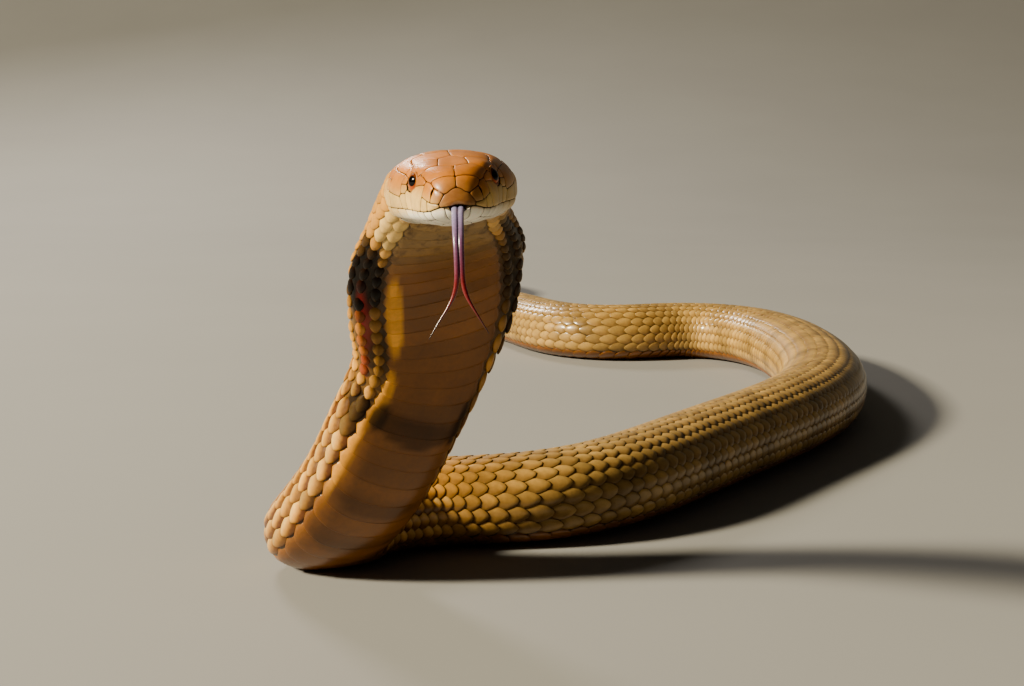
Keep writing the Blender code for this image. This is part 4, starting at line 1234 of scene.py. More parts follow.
@dataclass
class Skin:
    """The one skin under all scales, from inside the mouth to the tail's tip.

    Attributes:
        head_depth: How far it lies under the form on the head.
        body_depth: The same on the body.
        front_mm: Distances behind the snout of its first rings.
        head_mm: Where its rings on the head start and end, and their spacing.
        neck: The same on the neck.
        tail_room: How far its last even ring and its last ring stay before the tail's end.
        lip_steps_mm: Distances of its columns at the lips from the mouth line.
        pocket_mm: Rings of the tongue's opening, as distance behind the snout and size.
        eye_pit_mm: How far round an eye's middle it sinks, and how far under the ball.
        nostril_mm: Half length, half height and depth of a nostril.
    """

    form: Form
    head_depth: float = 0.55 * MM
    body_depth: float = 0.95 * MM
    front_mm: tuple[float, ...] = (0.12, 0.2, 0.3, 0.45, 0.7, 1.0, 1.4, 1.9)
    head_mm: Triple = (2.4, HEAD_LENGTH_MM, 0.55)
    neck: Triple = (0.0632, 0.400, 0.0025)
    body_step: float = 0.0056
    tail_room: tuple[float, float] = (7.0 * MM, 5.5 * MM)
    top_columns: int = 30
    jaw_columns: int = 13
    lip_steps_mm: tuple[float, ...] = (-1.2, -0.7, -0.35, 0.0, 0.35, 0.7, 1.2)
    lip_depth: float = 1.1 * MM
    lip_half_mm: float = 0.38
    pocket_mm: tuple[tuple[float, float], ...] = (
        (7.5, 0.55), (5.0, 0.85), (2.5, 1.0), (1.0, 1.0), (0.35, 1.02),
    )
    eye_pit_mm: tuple[float, float] = (3.9, 0.9)
    nostril_mm: Triple = (0.9, 1.7, 0.8)

    def build(self) -> Object:
        """Fold a grid round the form and close its two ends.

        Returns:
            The skin.
        """
        q = self._rows()
        g = self._columns(q)
        pocket = self._pocket(g)
        points = np.concatenate((pocket, self._places(q, g)))
        q = np.concatenate((np.zeros(len(pocket)), q))
        g = np.concatenate((np.repeat(g[:1], len(pocket), axis=0), g))
        rows, columns = g.shape
        builder = bmesh.new()
        bmesh.ops.create_grid(builder, x_segments=columns - 1, y_segments=rows - 1, size=1.0)
        mesh = finished_mesh("skin", builder)
        flat = points_of(mesh)
        j = np.rint((flat[:, 0] + 1.0) * 0.5 * (columns - 1)).astype(int)
        i = np.rint((flat[:, 1] + 1.0) * 0.5 * (rows - 1)).astype(int)
        mesh.vertices.foreach_set("co", points[i, j].astype(np.float32).ravel())
        shades = Markings.shares(q[i], g[i, j])
        shades["rim"] = np.where(i < len(pocket), 1.0, 0.0)
        shades["pick"] = np.zeros(len(i))
        set_values(mesh, shades)
        self._close(mesh)
        finish = HideFinish(under=0.80, wet=0.25, grain=0.08 * MM)
        return add_piece("skin", mesh, finish.make("skin_hide"), FLESH_NODES)

    def _rows(self) -> Array:
        """Distances behind the snout of the skin's rings.

        Returns:
            The distances, rising.
        """
        end = self.form.q[-1:]
        head = np.concatenate((self.front_mm, np.arange(*self.head_mm))) * MM
        body = np.arange(self.neck[1], end[0] - self.tail_room[0], self.body_step)
        return np.concatenate((head, np.arange(*self.neck), body, end - self.tail_room[1]))

    def _columns(self, q: Array) -> Array:
        """Ways round the body of the skin's points, set close at the lips.

        Args:
            q: Distances behind the snout of its rings.

        Returns:
            A row for each ring.
        """
        girth = self.form.girth_at(q)[:, None]
        seam = self.form.mouth_at(q)[:, None]
        steps = np.array(self.lip_steps_mm)[None, :] * MM / girth
        steps = steps * np.minimum(1.0, 0.08 / steps.max(axis=1, keepdims=True))
        lips = seam + steps
        lowest = lips[:, -1:]
        top = np.linspace(0.0, 1.0, self.top_columns)[None, :-1] * lips[:, :1]
        jaw = lowest + np.linspace(0.0, 1.0, self.jaw_columns)[None, 1:] * (1.0 - lowest)
        half = np.concatenate((top, lips, jaw), axis=1)
        return np.concatenate((-half[:, :0:-1], half), axis=1)

    def _places(self, q: Array, g: Array) -> Array:
        """Place the skin with its mouth line, eye pits and nostrils.

        Args:
            q: Distances behind the snout of its rings.
            g: Ways round the body, a row for each ring.

        Returns:
            World points.
        """
        depth = self.head_depth + (self.body_depth - self.head_depth) * smooth_step(q, 0.050, 0.075)
        depth = np.minimum(depth * fineness(q), 0.16 * self.form.girth_at(q))
        depth = depth * smooth_step(q, -0.0004, 0.0010)
        away = (np.abs(g) - self.form.mouth_at(q)[:, None]) * self.form.girth_at(q)[:, None] / MM
        fade = smooth_step(q, 0.0010, 0.0040) * (1.0 - smooth_step(q, 0.045, 0.051))
        groove = self.lip_depth * bell(away, 0.0, self.lip_half_mm) * fade[:, None]
        points = self.form.at(q[:, None], g, -depth[:, None] - groove)
        near = int(np.searchsorted(q, 0.030))
        points[:near] = self._pits(points[:near])
        return points

    def _pits(self, points: Array) -> Array:
        """Sink the skin under the eyes and into the nostrils.

        Args:
            points: World points of the front of the head.

        Returns:
            The points, moved inward.
        """
        head = self.form.head
        behind, side, up = head.read(points)
        radius, under = self.eye_pit_mm
        away = np.hypot(behind - EYE_CENTRE_MM[0], up - EYE_CENTRE_MM[2])
        ball = EYE_CENTRE_MM[1] + np.sqrt(np.clip(EYE_RADIUS_MM**2 - away**2, 0.0, None)) - under
        inner = np.where(away < radius, np.minimum(np.abs(side), ball), np.abs(side))
        long, tall, depth = self.nostril_mm
        slot = np.hypot((behind - NOSTRIL_MM[0]) / long, (up - NOSTRIL_MM[2]) / tall)
        inner = inner - depth * np.clip(1.0 - slot**2, 0.0, 1.0) * (np.abs(side) > 6.0)
        return head.point(behind, np.sign(side) * inner, up)

    def _pocket(self, g: Array) -> Array:
        """Line the opening that the tongue comes out of.

        Args:
            g: Ways round the body, a row for each ring.

        Returns:
            World points of its rings, from its bottom out.
        """
        angle = g[0] * math.pi
        rings = []
        for behind, share in self.pocket_mm:
            side = np.sin(angle) * NOTCH_HALF_MM[0] * share
            up = TONGUE_LEVEL_MM + np.cos(angle) * NOTCH_HALF_MM[1] * share
            rings.append(self.form.head.point(np.full_like(side, behind), side, up))
        return np.array(rings)

    @staticmethod
    def _close(mesh: Mesh) -> None:
        """Weld the seam along the belly and fill the two ends.

        Args:
            mesh: The skin's mesh.
        """
        builder = bmesh.new()
        builder.from_mesh(mesh)
        bmesh.ops.remove_doubles(builder, verts=builder.verts, dist=0.00002)
        edges = [edge for edge in builder.edges if edge.is_boundary]
        bmesh.ops.holes_fill(builder, edges=edges, sides=0)
        bmesh.ops.recalc_face_normals(builder, faces=builder.faces)
        builder.to_mesh(mesh)
        builder.free()
        shade_round(mesh)


@dataclass(frozen=True)
class ScaleShape:
    """Outline and thickness of one scale.

    Attributes:
        rings: For each ring its spread, its share of the dome and how far it drops.
        blunt: Power of the outline, 1 for a lozenge and 2 for an oval.
    """

    points: int
    rings: tuple[tuple[float, float, float], ...]
    blunt: float

    def template(self) -> tuple[Array, Array, Array, Array, list[Array]]:
        """Local outline values and faces of one scale.

        Returns:
            Places along and across, dome shares, drops, and arrays of faces.
        """
        angle = np.linspace(0.0, 2.0 * math.pi, self.points, endpoint=False)
        power = 2.0 / self.blunt
        along = np.sign(np.cos(angle)) * np.abs(np.cos(angle)) ** power
        across = np.sign(np.sin(angle)) * np.abs(np.sin(angle)) ** power
        spread, dome, drop = np.array(self.rings).T
        u, v = (np.append(np.outer(spread, way), 0.0) for way in (along, across))
        dome = np.append(np.repeat(dome, self.points), 1.0)
        drop = np.append(np.repeat(drop, self.points), 0.0)
        bottom = np.arange(self.points)[::-1][None, :]
        return u, v, dome, drop, [bottom, *ring_faces(self.points, len(self.rings))]


FINE_SCALE = ScaleShape(
    points=20,
    rings=(
        (0.90, 0.0, 1.0), (0.985, 0.0, 0.55), (1.0, 0.08, 0.10), (0.95, 0.30, 0.0), (0.80, 0.60, 0.0),
        (0.45, 0.90, 0.0),
    ),
    blunt=1.62,
)
BODY_SCALE = ScaleShape(
    points=14,
    rings=((0.92, 0.0, 1.0), (1.0, 0.06, 0.15), (0.90, 0.45, 0.0), (0.55, 0.85, 0.0)),
    blunt=1.58,
)


@dataclass
class ScaleSet:
    """Places and sizes of many scales of one shape.

    Attributes:
        rise: How far each tip stands over its root.
        dome: Height of each scale's middle over its rim.
        root: Height of each root over the form.
        deep: How much darker each scale is toward the belly and its root: painted shade, partly its own
            darker tone.
        SHADE_EDGE: Where that darker colour starts and is full, toward the belly.
        HIGHLIGHT_SHADE_RANGE: How strong that darker colour must be for the painted highlight on the tip
            to start and be full.
        HIGHLIGHT_EDGE: Where that painted highlight starts and is full, away from the belly.
        LEAN: How far the darker colour leans toward the root.
    """

    q: Array
    g: Array
    length: Array
    width: Array
    rise: Array
    dome: Array
    root: Array
    deep: Array
    THICKNESS = 0.5 * MM
    RIM_SHADE = 0.85
    ROOT_SHADE = 0.55
    SHADE_EDGE = (-0.30, 0.40)
    TIP_HIGHLIGHT = 0.75
    HIGHLIGHT_SHADE_RANGE = (0.45, 0.85)
    HIGHLIGHT_EDGE = (0.05, 0.75)
    LEAN = 0.55
    PATCH = 0.0015
    MARGIN = 0.02

    def mesh(self, name: str, form: Form, shape: ScaleShape, pick: Array) -> Mesh:
        """Join all the scales in one mesh.

        Args:
            name: Name of the mesh.
            form: The form that they grow from.
            shape: The shape of each one.
            pick: A number from -1 to 1 for each scale that varies its shade.

        Returns:
            The mesh, with its values and its map.
        """
        u, v, dome, drop, faces = shape.template()
        q = self.q[:, None] + u[None, :] * 0.5 * self.length[:, None]
        girth = form.girth_at(self.q)[:, None]
        g = self.g[:, None] + v[None, :] * 0.5 * self.width[:, None] / girth
        lift = self.root[:, None] + self.rise[:, None] * (0.5 + 0.5 * u[None, :])
        lift = lift + self.dome[:, None] * dome[None, :]
        lift = lift - self.THICKNESS * drop[None, :] * fineness(q)
        q = np.clip(q, 0.0, form.q[-1])
        points = form.at(q, g, lift)
        count = len(u)
        offset = (np.arange(len(self.q)) * count)[:, None, None]
        joined = [(rows[None] + offset).reshape(-1, rows.shape[1]) for rows in faces]
        mesh = array_mesh(name, points.reshape(-1, 3), joined)
        shades = {key: np.repeat(own, count) for key, own in Markings.shares(self.q, self.g).items()}
        edge = self.RIM_SHADE * np.clip(1.0 - dome, 0.0, 1.0) ** 3
        root = self.ROOT_SHADE * smooth_step(-u, 0.0, 0.9)
        shades["rim"] = np.tile(np.clip(np.maximum(edge, root), 0.0, 1.0), len(self.q))
        down = v[None, :] * np.sign(self.g)[:, None] - self.LEAN * u[None, :]
        # Painted shade: each scale is darker toward the belly and its root, partly its own darker tone.
        shades["deep"] = (self.deep[:, None] * smooth_step(down, *self.SHADE_EDGE)).ravel()
        # Painted highlight: a pale tip on the side away from the belly, partly the scale's own paler tip.
        tip_highlight = self.TIP_HIGHLIGHT * smooth_step(self.deep, *self.HIGHLIGHT_SHADE_RANGE)[:, None]
        tip_highlight = tip_highlight * smooth_step(-down, *self.HIGHLIGHT_EDGE)
        shades["pale"] = np.maximum(shades["pale"], tip_highlight.ravel())
        shades["pick"] = np.repeat(pick, count)
        set_values(mesh, shades)
        set_map(mesh, self._patches(u, v))
        return mesh

    def _patches(self, u: Array, v: Array) -> Array:
        """Lay a small patch of the unwrapped skin at each scale's root.

        Args:
            u: Places along a scale.
            v: Places across it.

        Returns:
            A place in the map for each point.
        """
        low, high = self.q.min(), self.q.max()
        root = self.q - 0.4 * self.length
        width = 1.0 - 2.0 * self.MARGIN
        across = self.MARGIN + width * (root - low + 0.01) / (high - low + 0.02)
        around = self.MARGIN + width * ((self.g + 1.0) % 2.0) * 0.5
        places = np.empty((len(self.q), len(u), 2))
        places[..., 0] = across[:, None] + u[None, :] * self.PATCH
        places[..., 1] = around[:, None] + v[None, :] * self.PATCH
        return np.clip(places.reshape(-1, 2), 0.0, 1.0)


@dataclass(frozen=True)
class Stretch:
    """One stretch of the coat or of the belly scutes.

    Attributes:
        rows: Rows of scales or scutes side by side.
    """

    name: str
    start: float
    end: float
    rows: int
    shape: ScaleShape = BODY_SCALE


@dataclass
class Coat:
    """The overlapping scales of the back and flanks.

    Attributes:
        end_rings: Its rings, as mm before the tail's end, size, mm over the form and shade.
        head_edge: Ways round the head, and where the scales start there.
        wander: How far scales stray along and across, and vary in size.
        ramps: Where each share that shapes the scales starts and is full, along the body
            in q or round it in side.
        weights: For each size its base and what each share adds to it.
        flank_deep: Strength of the painted shade, partly the scales' own tone, on the raised part. On the
            ground it is lying_deep.
    """

    form: Form
    seed: int = 7
    bands: tuple[Stretch, ...] = (
        Stretch("coat_neck", 0.046, 0.135, 19, FINE_SCALE),
        Stretch("coat_hood", 0.135, 0.235, 17, FINE_SCALE),
        Stretch("coat_raised", 0.235, 0.430, 15, FINE_SCALE),
        Stretch("coat_near", 0.430, 0.980, 15),
        Stretch("coat_turn", 0.980, 1.420, 15),
        Stretch("coat_far", 1.420, 1.950, 15),
        Stretch("coat_rear", 1.950, 2.400, 15),
        Stretch("coat_tail_root", 2.400, 2.620, 13),
        Stretch("coat_tail_middle", 2.620, 2.800, 9),
        Stretch("coat_tail_tip", 2.800, 3.0200, 6),
    )
    end_sides: int = 24
    end_rings: tuple[tuple[float, float, float, float], ...] = (
        (9.5, 1.0, -0.30, 1.0), (9.2, 1.0, 0.03, 0.5), (6.0, 1.0, 0.10, 0.1), (3.0, 0.92, 0.0, 0.0),
        (1.0, 0.70, 0.0, 0.0), (0.2, 0.40, 0.0, 0.0),
    )
    head_edge: tuple[tuple[float, ...], tuple[float, ...]] = (
        (0.00, 0.12, 0.20, 0.27, 0.36, 0.44, 0.50, 0.55, 0.60, 0.75),
        (0.0575, 0.0570, 0.0550, 0.0525, 0.0515, 0.0495, 0.0490, 0.0485, 0.0475, 0.0450),
    )
    wander: Triple = (0.022, 0.018, 0.035)
    ramps: dict[str, tuple[float, float]] = field(default_factory=lambda: {
        "neck_q": (0.055, 0.090),
        "spread_q": (0.080, 0.110),
        "narrow_q": (0.20, 0.26),
        "lying_q": (0.30, 0.42),
        "flank_side": (0.30, 0.52),
        "flank_end_q": (0.34, 0.42),
        "beads_side": (0.38, 0.52),
        # Where the painted shade on the scales starts and ends.
        "deep_side": (0.24, 0.40),
        "deep_q": (0.205, 0.235),
        "deep_end_q": (0.36, 0.50),
    })
    weights: dict[str, dict[str, float]] = field(default_factory=lambda: {
        "width": {"base": 1.46, "spread": -0.34, "beads": -0.26, "flank": -0.12, "lying": -0.20},
        "length": {"base": 1.58, "spread": -0.36, "beads": -0.22, "near_head": -0.10, "lying": -0.16},
        "rise": {"base": 0.80, "flank": 0.65, "near_head": -0.25, "lying": 0.12},
        "dome": {"base": 0.30, "free_flank": 0.75, "spread": 0.25, "lying": 0.22},
        "root": {"base": -1.25, "near_head": 0.66, "free_flank": -0.45, "lying": -0.08},
    })
    flank_deep: float = 0.92
    lying_deep: float = 0.45

    def build(self) -> None:
        """Make one piece for each band."""
        draw = np.random.default_rng(self.seed)
        finish = HideFinish(under=0.0, wet=0.40, grain=0.00006).make("scale_hide")
        for band in self.bands:
            scales, pick = self._scales(band, draw)
            add_piece(band.name, scales.mesh(band.name, self.form, band.shape, pick), finish)
        add_piece("coat_tail_end", self._tail_end(), finish)

    def _tail_end(self) -> Mesh:
        """The one scale that closes the tail like a thimble.

        Returns:
            Its mesh.
        """
        end = float(self.form.q[-1])
        g = np.linspace(-1.0, 1.0, self.end_sides, endpoint=False)
        middle = self.form.middles[-1]
        rings = []
        for before_mm, share, lift_mm, _ in self.end_rings:
            ring = self.form.at(end - before_mm * MM, g, lift_mm * MM)
            rings.append(middle + (ring - middle) * share if share < 1.0 else ring)
        tip = np.array([[middle[0], self.form.rear, middle[2]]])
        points = np.concatenate(rings + [tip, rings[0].mean(axis=0)[None]])
        count = len(points)
        shades = Markings.shares(np.full(count, end), np.zeros(count))
        rims = [ring[3] for ring in self.end_rings]
        shades["rim"] = np.append(np.repeat(rims, self.end_sides), (0.0, 1.0))
        shades["pick"] = np.zeros(count)
        spots = 0.5 + 0.001 * (points[:, [0, 2]] - middle[[0, 2]]) / (6.0 * MM)
        faces = plate_faces(self.end_sides, len(rings))
        return joined_mesh("coat_tail_end", [(points, faces, shades, spots)])

    def _shares(self, q: Array, side: Array) -> Shades:
        """Shares that shape the scales at places on the hide.

        Args:
            q: Distances behind the snout.
            side: Ways round the body from the back.

        Returns:
            Named arrays from 0 to 1.
        """
        ramp = {
            key: smooth_step(q if key.endswith("_q") else side, *ends) for key, ends in self.ramps.items()
        }
        spread = ramp["spread_q"] * (1.0 - ramp["narrow_q"])
        flank = ramp["flank_side"] * (1.0 - ramp["flank_end_q"])
        # Painted shade on the scales' belly side, partly their own tone; weaker where the body lies on the
        # ground.
        deep = self.flank_deep * ramp["deep_side"] * ramp["deep_q"] * (1.0 - ramp["deep_end_q"])
        return {
            "base": np.ones_like(q),
            "spread": spread,
            "beads": spread * ramp["beads_side"],
            "flank": flank,
            "free_flank": flank * ramp["neck_q"],
            "near_head": 1.0 - ramp["neck_q"],
            "lying": ramp["lying_q"],
            "deep": np.maximum(deep, self.lying_deep * ramp["lying_q"]),
        }

    def _scales(self, band: Stretch, draw: np.random.Generator) -> tuple[ScaleSet, Array]:
        """Places and sizes of a band's scales.

        Args:
            band: The stretch.
            draw: The seeded random draw.

        Returns:
            The scales and a shade number for each.
        """
        q, g, widths = [], [], []
        for row in range(band.rows):
            line = Beat.places(band.start, band.end, 0.5 * ((row + band.rows // 2) % 2) + 0.25)
            edge = 1.0 - belly_share(line) - 0.004
            g_row = -edge + (row + 0.5) * 2.0 * edge / band.rows
            kept = line > np.interp(np.abs(g_row), *self.head_edge)
            q.append(line[kept])
            g.append(g_row[kept])
            widths.append((2.0 * edge * self.form.girth_at(line) / band.rows)[kept])
        q, g, row_width = np.concatenate(q), np.concatenate(g), np.concatenate(widths)
        count = len(q)
        pick = draw.uniform(-1.0, 1.0, count)
        pitch = Beat.pitch(q)
        q = q + draw.normal(0.0, self.wander[0], count) * pitch
        g = g + draw.normal(0.0, self.wander[1], count) * row_width / self.form.girth_at(q)
        size = 1.0 + draw.normal(0.0, self.wander[2], count)
        shares = self._shares(q, np.abs(g))
        width, length, rise, dome, root = (
            sum(weight * shares[key] for key, weight in row.items()) for row in self.weights.values()
        )
        deep = np.clip(shares["deep"] * (1.0 + 0.15 * pick), 0.0, 1.0)
        small = MM * fineness(q)
        scales = ScaleSet(
            q=q,
            g=g,
            length=pitch * length * size,
            width=row_width * width * size,
            rise=rise * small,
            dome=dome * small,
            root=root * small,
            deep=deep,
        )
        return scales, pick


@dataclass
class Gulars:
    """The small scales under the jaw, between chin and belly scutes.

    Attributes:
        overlap: Size of a scale in steps of its row and of its pitch.
    """

    form: Form
    pitch: float = 5.6 * MM
    start: float = 7.5 * MM
    end: float = 54.5 * MM
    rows: int = 9
    row_step: float = 0.043
    first_row: float = 0.985
    overlap: float = 1.55
    seed: int = 11

    def build(self) -> Object:
        """Make the piece.

        Returns:
            The piece.
        """
        draw = np.random.default_rng(self.seed)
        q, g = [], []
        for sign in (-1.0, 1.0):
            for row in range(self.rows):
                line = np.arange(self.start + 0.5 * self.pitch * (row % 2), self.end, self.pitch)
                q.append(line)
                g.append(np.full(len(line), sign * (self.first_row - self.row_step * row)))
        q, g = np.concatenate(q), np.concatenate(g)
        kept = self._free(q, g)
        q, g = q[kept], g[kept]
        ones = np.ones(len(q))
        scales = ScaleSet(
            q=q + draw.normal(0.0, 0.03, len(q)) * self.pitch,
            g=g,
            length=ones * self.pitch * self.overlap,
            width=self.row_step * self.form.girth_at(q) * self.overlap,
            rise=ones * 0.45 * MM,
            dome=ones * 0.20 * MM,
            root=ones * -0.75 * MM,
            deep=ones * 0.0,
        )
        finish = HideFinish(under=0.0, wet=0.40, grain=0.04 * MM).make("gular_hide")
        mesh = scales.mesh("coat_throat", self.form, BODY_SCALE, draw.uniform(-1.0, 1.0, len(q)))
        return add_piece("coat_throat", mesh, finish)

    def _free(self, q: Array, g: Array) -> Array:
        """Tell which places the plates of jaw and chin leave free.

        Args:
            q: Distances behind the snout.
            g: Ways round the body.

        Returns:
            True where a scale can lie.
        """
        behind, side, up = self.form.head.read(self.form.at(q, g))
        under_shield = ((np.abs(side) < 6.4) & (behind < 27.5)) | (behind < 19.5)
        beside_lip = up > -7.6
        over_neck = (behind > 42.0) & (np.abs(g) < 0.70)
        return ~(under_shield | beside_lip | over_neck)


@dataclass
class BellyScutes:
    """The broad scutes that cross the belly and overlap toward the tail.

    Attributes:
        stations: Places of its points along it, from -1 at the root to 1 at the rear rim.
        profile_mm: Heights of its upper side over the form, at some of these places.
        lobe_mm: Height of the swelling at each end, its middle and its half width.
        overlap: Its length in steps from one scute to the next.
    """

    form: Form
    across: int = 29
    stations: tuple[float, ...] = (-1.0, -0.6, -0.15, 0.35, 0.75, 0.94, 1.0)
    profile_mm: tuple[tuple[float, ...], ...] = ((-1.0, 0.75, 0.94, 1.0), (-1.00, -0.36, -0.37, -0.54))
    thickness: float = 0.34 * MM
    lobe_mm: Triple = (0.55, 0.88, 0.10)
    end_drop_mm: float = 0.45
    overlap: float = 1.34
    wander: float = 0.015
    seed: int = 3
    runs: tuple[Stretch, ...] = (
        Stretch("scutes_raised", 0.052, 0.420, 1),
        Stretch("scutes_front", 0.420, 1.430, 1),
        Stretch("scutes_rear", 1.430, 2.378, 1),
        Stretch("scutes_tail", 2.378, 3.014, 2),
    )

    def build(self) -> None:
        """Make one piece for each stretch."""
        draw = np.random.default_rng(self.seed)
        finish = HideFinish(under=0.0, wet=0.50, grain=0.05 * MM).make("scute_hide")
        for run in self.runs:
            add_piece(run.name, self._mesh(run, draw), finish)

    def _mesh(self, run: Stretch, draw: np.random.Generator) -> Mesh:
        """Join the scutes of a stretch in one mesh.

        Args:
            run: The stretch.
            draw: The seeded random draw.

        Returns:
            The mesh.
        """
        starts = Beat.places(run.start, run.end)
        pitches = Beat.pitch(starts)
        starts = starts + draw.normal(0.0, self.wander, len(starts)) * pitches
        paired = run.rows > 1
        halves = ((-1.0, 0.02), (-0.02, 1.0)) if paired else ((-1.0, 1.0),)
        faces = [self._faces()]
        parts = []
        for number, (start, pitch) in enumerate(zip(starts, pitches)):
            for half, (low, high) in enumerate(halves):
                begin = start + 0.5 * pitch * half
                points, shades, spots = self._scute(begin, pitch, low, high, draw)
                spots[:, 0] = (number + 0.04 + 0.92 * spots[:, 0]) / len(starts)
                parts.append((points, faces, shades, spots))
        return joined_mesh(run.name, parts)

    def _scute(self, start: float, pitch: float, low: float, high: float,
               draw: np.random.Generator) -> tuple[Array, Shades, Array]:
        """Shape one scute.

        Args:
            start: Distance behind the snout of its middle.
            pitch: Step from one scute to the next.
            low: Where it starts across the belly, -1 for the right edge.
            high: Where it ends, 1 for the left edge.
            draw: The seeded random draw.

        Returns:
            Points with the underside first, values, and places in the map.
        """
        u = np.array(self.stations)[None, :]
        v = np.linspace(low, high, self.across)[:, None]
        reach = np.clip(1.0 - np.abs(v) ** 8, 0.0, 1.0) ** 0.5 * 0.86 + 0.14
        share, small = float(belly_share(start)), float(fineness(start))
        bow = (0.22 + 0.8 * float(bell(start, 0.31, 0.055))) * (1.0 - v**2)
        q = start + pitch * self.overlap * (0.5 * u * reach + 0.28 + bow * 0.55)
        q = np.clip(q, 0.0, self.form.q[-1])
        g = 1.0 + v * share * 1.03 + 0.0 * u
        height, middle, half = self.lobe_mm
        lobe = height * bell(np.abs(v), middle, half) * smooth_step(u, -0.9, 0.2)
        ends = smooth_step(np.abs(v), 0.945, 1.0)
        lift = (np.interp(u, *self.profile_mm) + lobe - self.end_drop_mm * ends) * MM * small
        top = self.form.at(q, g, lift)
        bottom = self.form.at(q, g, lift - self.thickness * small)
        shade = Markings.shares(q, g)
        shade["belly"] = np.ones_like(q)
        shade["pale"] = shade["pale"] * 0.3
        rear = smooth_step(u, 0.84, 1.0) * (0.30 - 0.10 * float(smooth_step(-start, -0.13, -0.09)))
        shade["rim"] = np.maximum(rear, 0.25 * smooth_step(np.abs(v), 0.95, 1.0)) + 0.0 * q
        shade["pick"] = np.full_like(q, draw.uniform(-1.0, 1.0))
        spots = np.stack((0.5 + 0.5 * u + 0.0 * v, 0.5 + 0.48 * v + 0.0 * u), axis=-1).reshape(-1, 2)
        both = {key: np.tile(value.ravel(), 2) for key, value in shade.items()}
        points = np.concatenate((bottom.reshape(-1, 3), top.reshape(-1, 3)))
        return points, both, np.tile(spots, (2, 1))

    def _faces(self) -> Array:
        """Faces of one scute.

        Returns:
            Its underside, its walls and its upper side.
        """
        along = len(self.stations)
        index = np.arange(self.across * along).reshape(self.across, along)
        count = index.size
        a, b = index[:-1, :-1].ravel(), index[1:, :-1].ravel()
        c, d = index[1:, 1:].ravel(), index[:-1, 1:].ravel()
        rim = np.concatenate((index[:, 0], index[-1, 1:], index[-2::-1, -1], index[0, -2:0:-1]))
        after = np.roll(rim, -1)
        under, walls = (a, d, c, b), (rim, after, after + count, rim + count)
        upper = (a + count, b + count, c + count, d + count)
        return np.concatenate([np.stack(corners, axis=1) for corners in (under, walls, upper)])


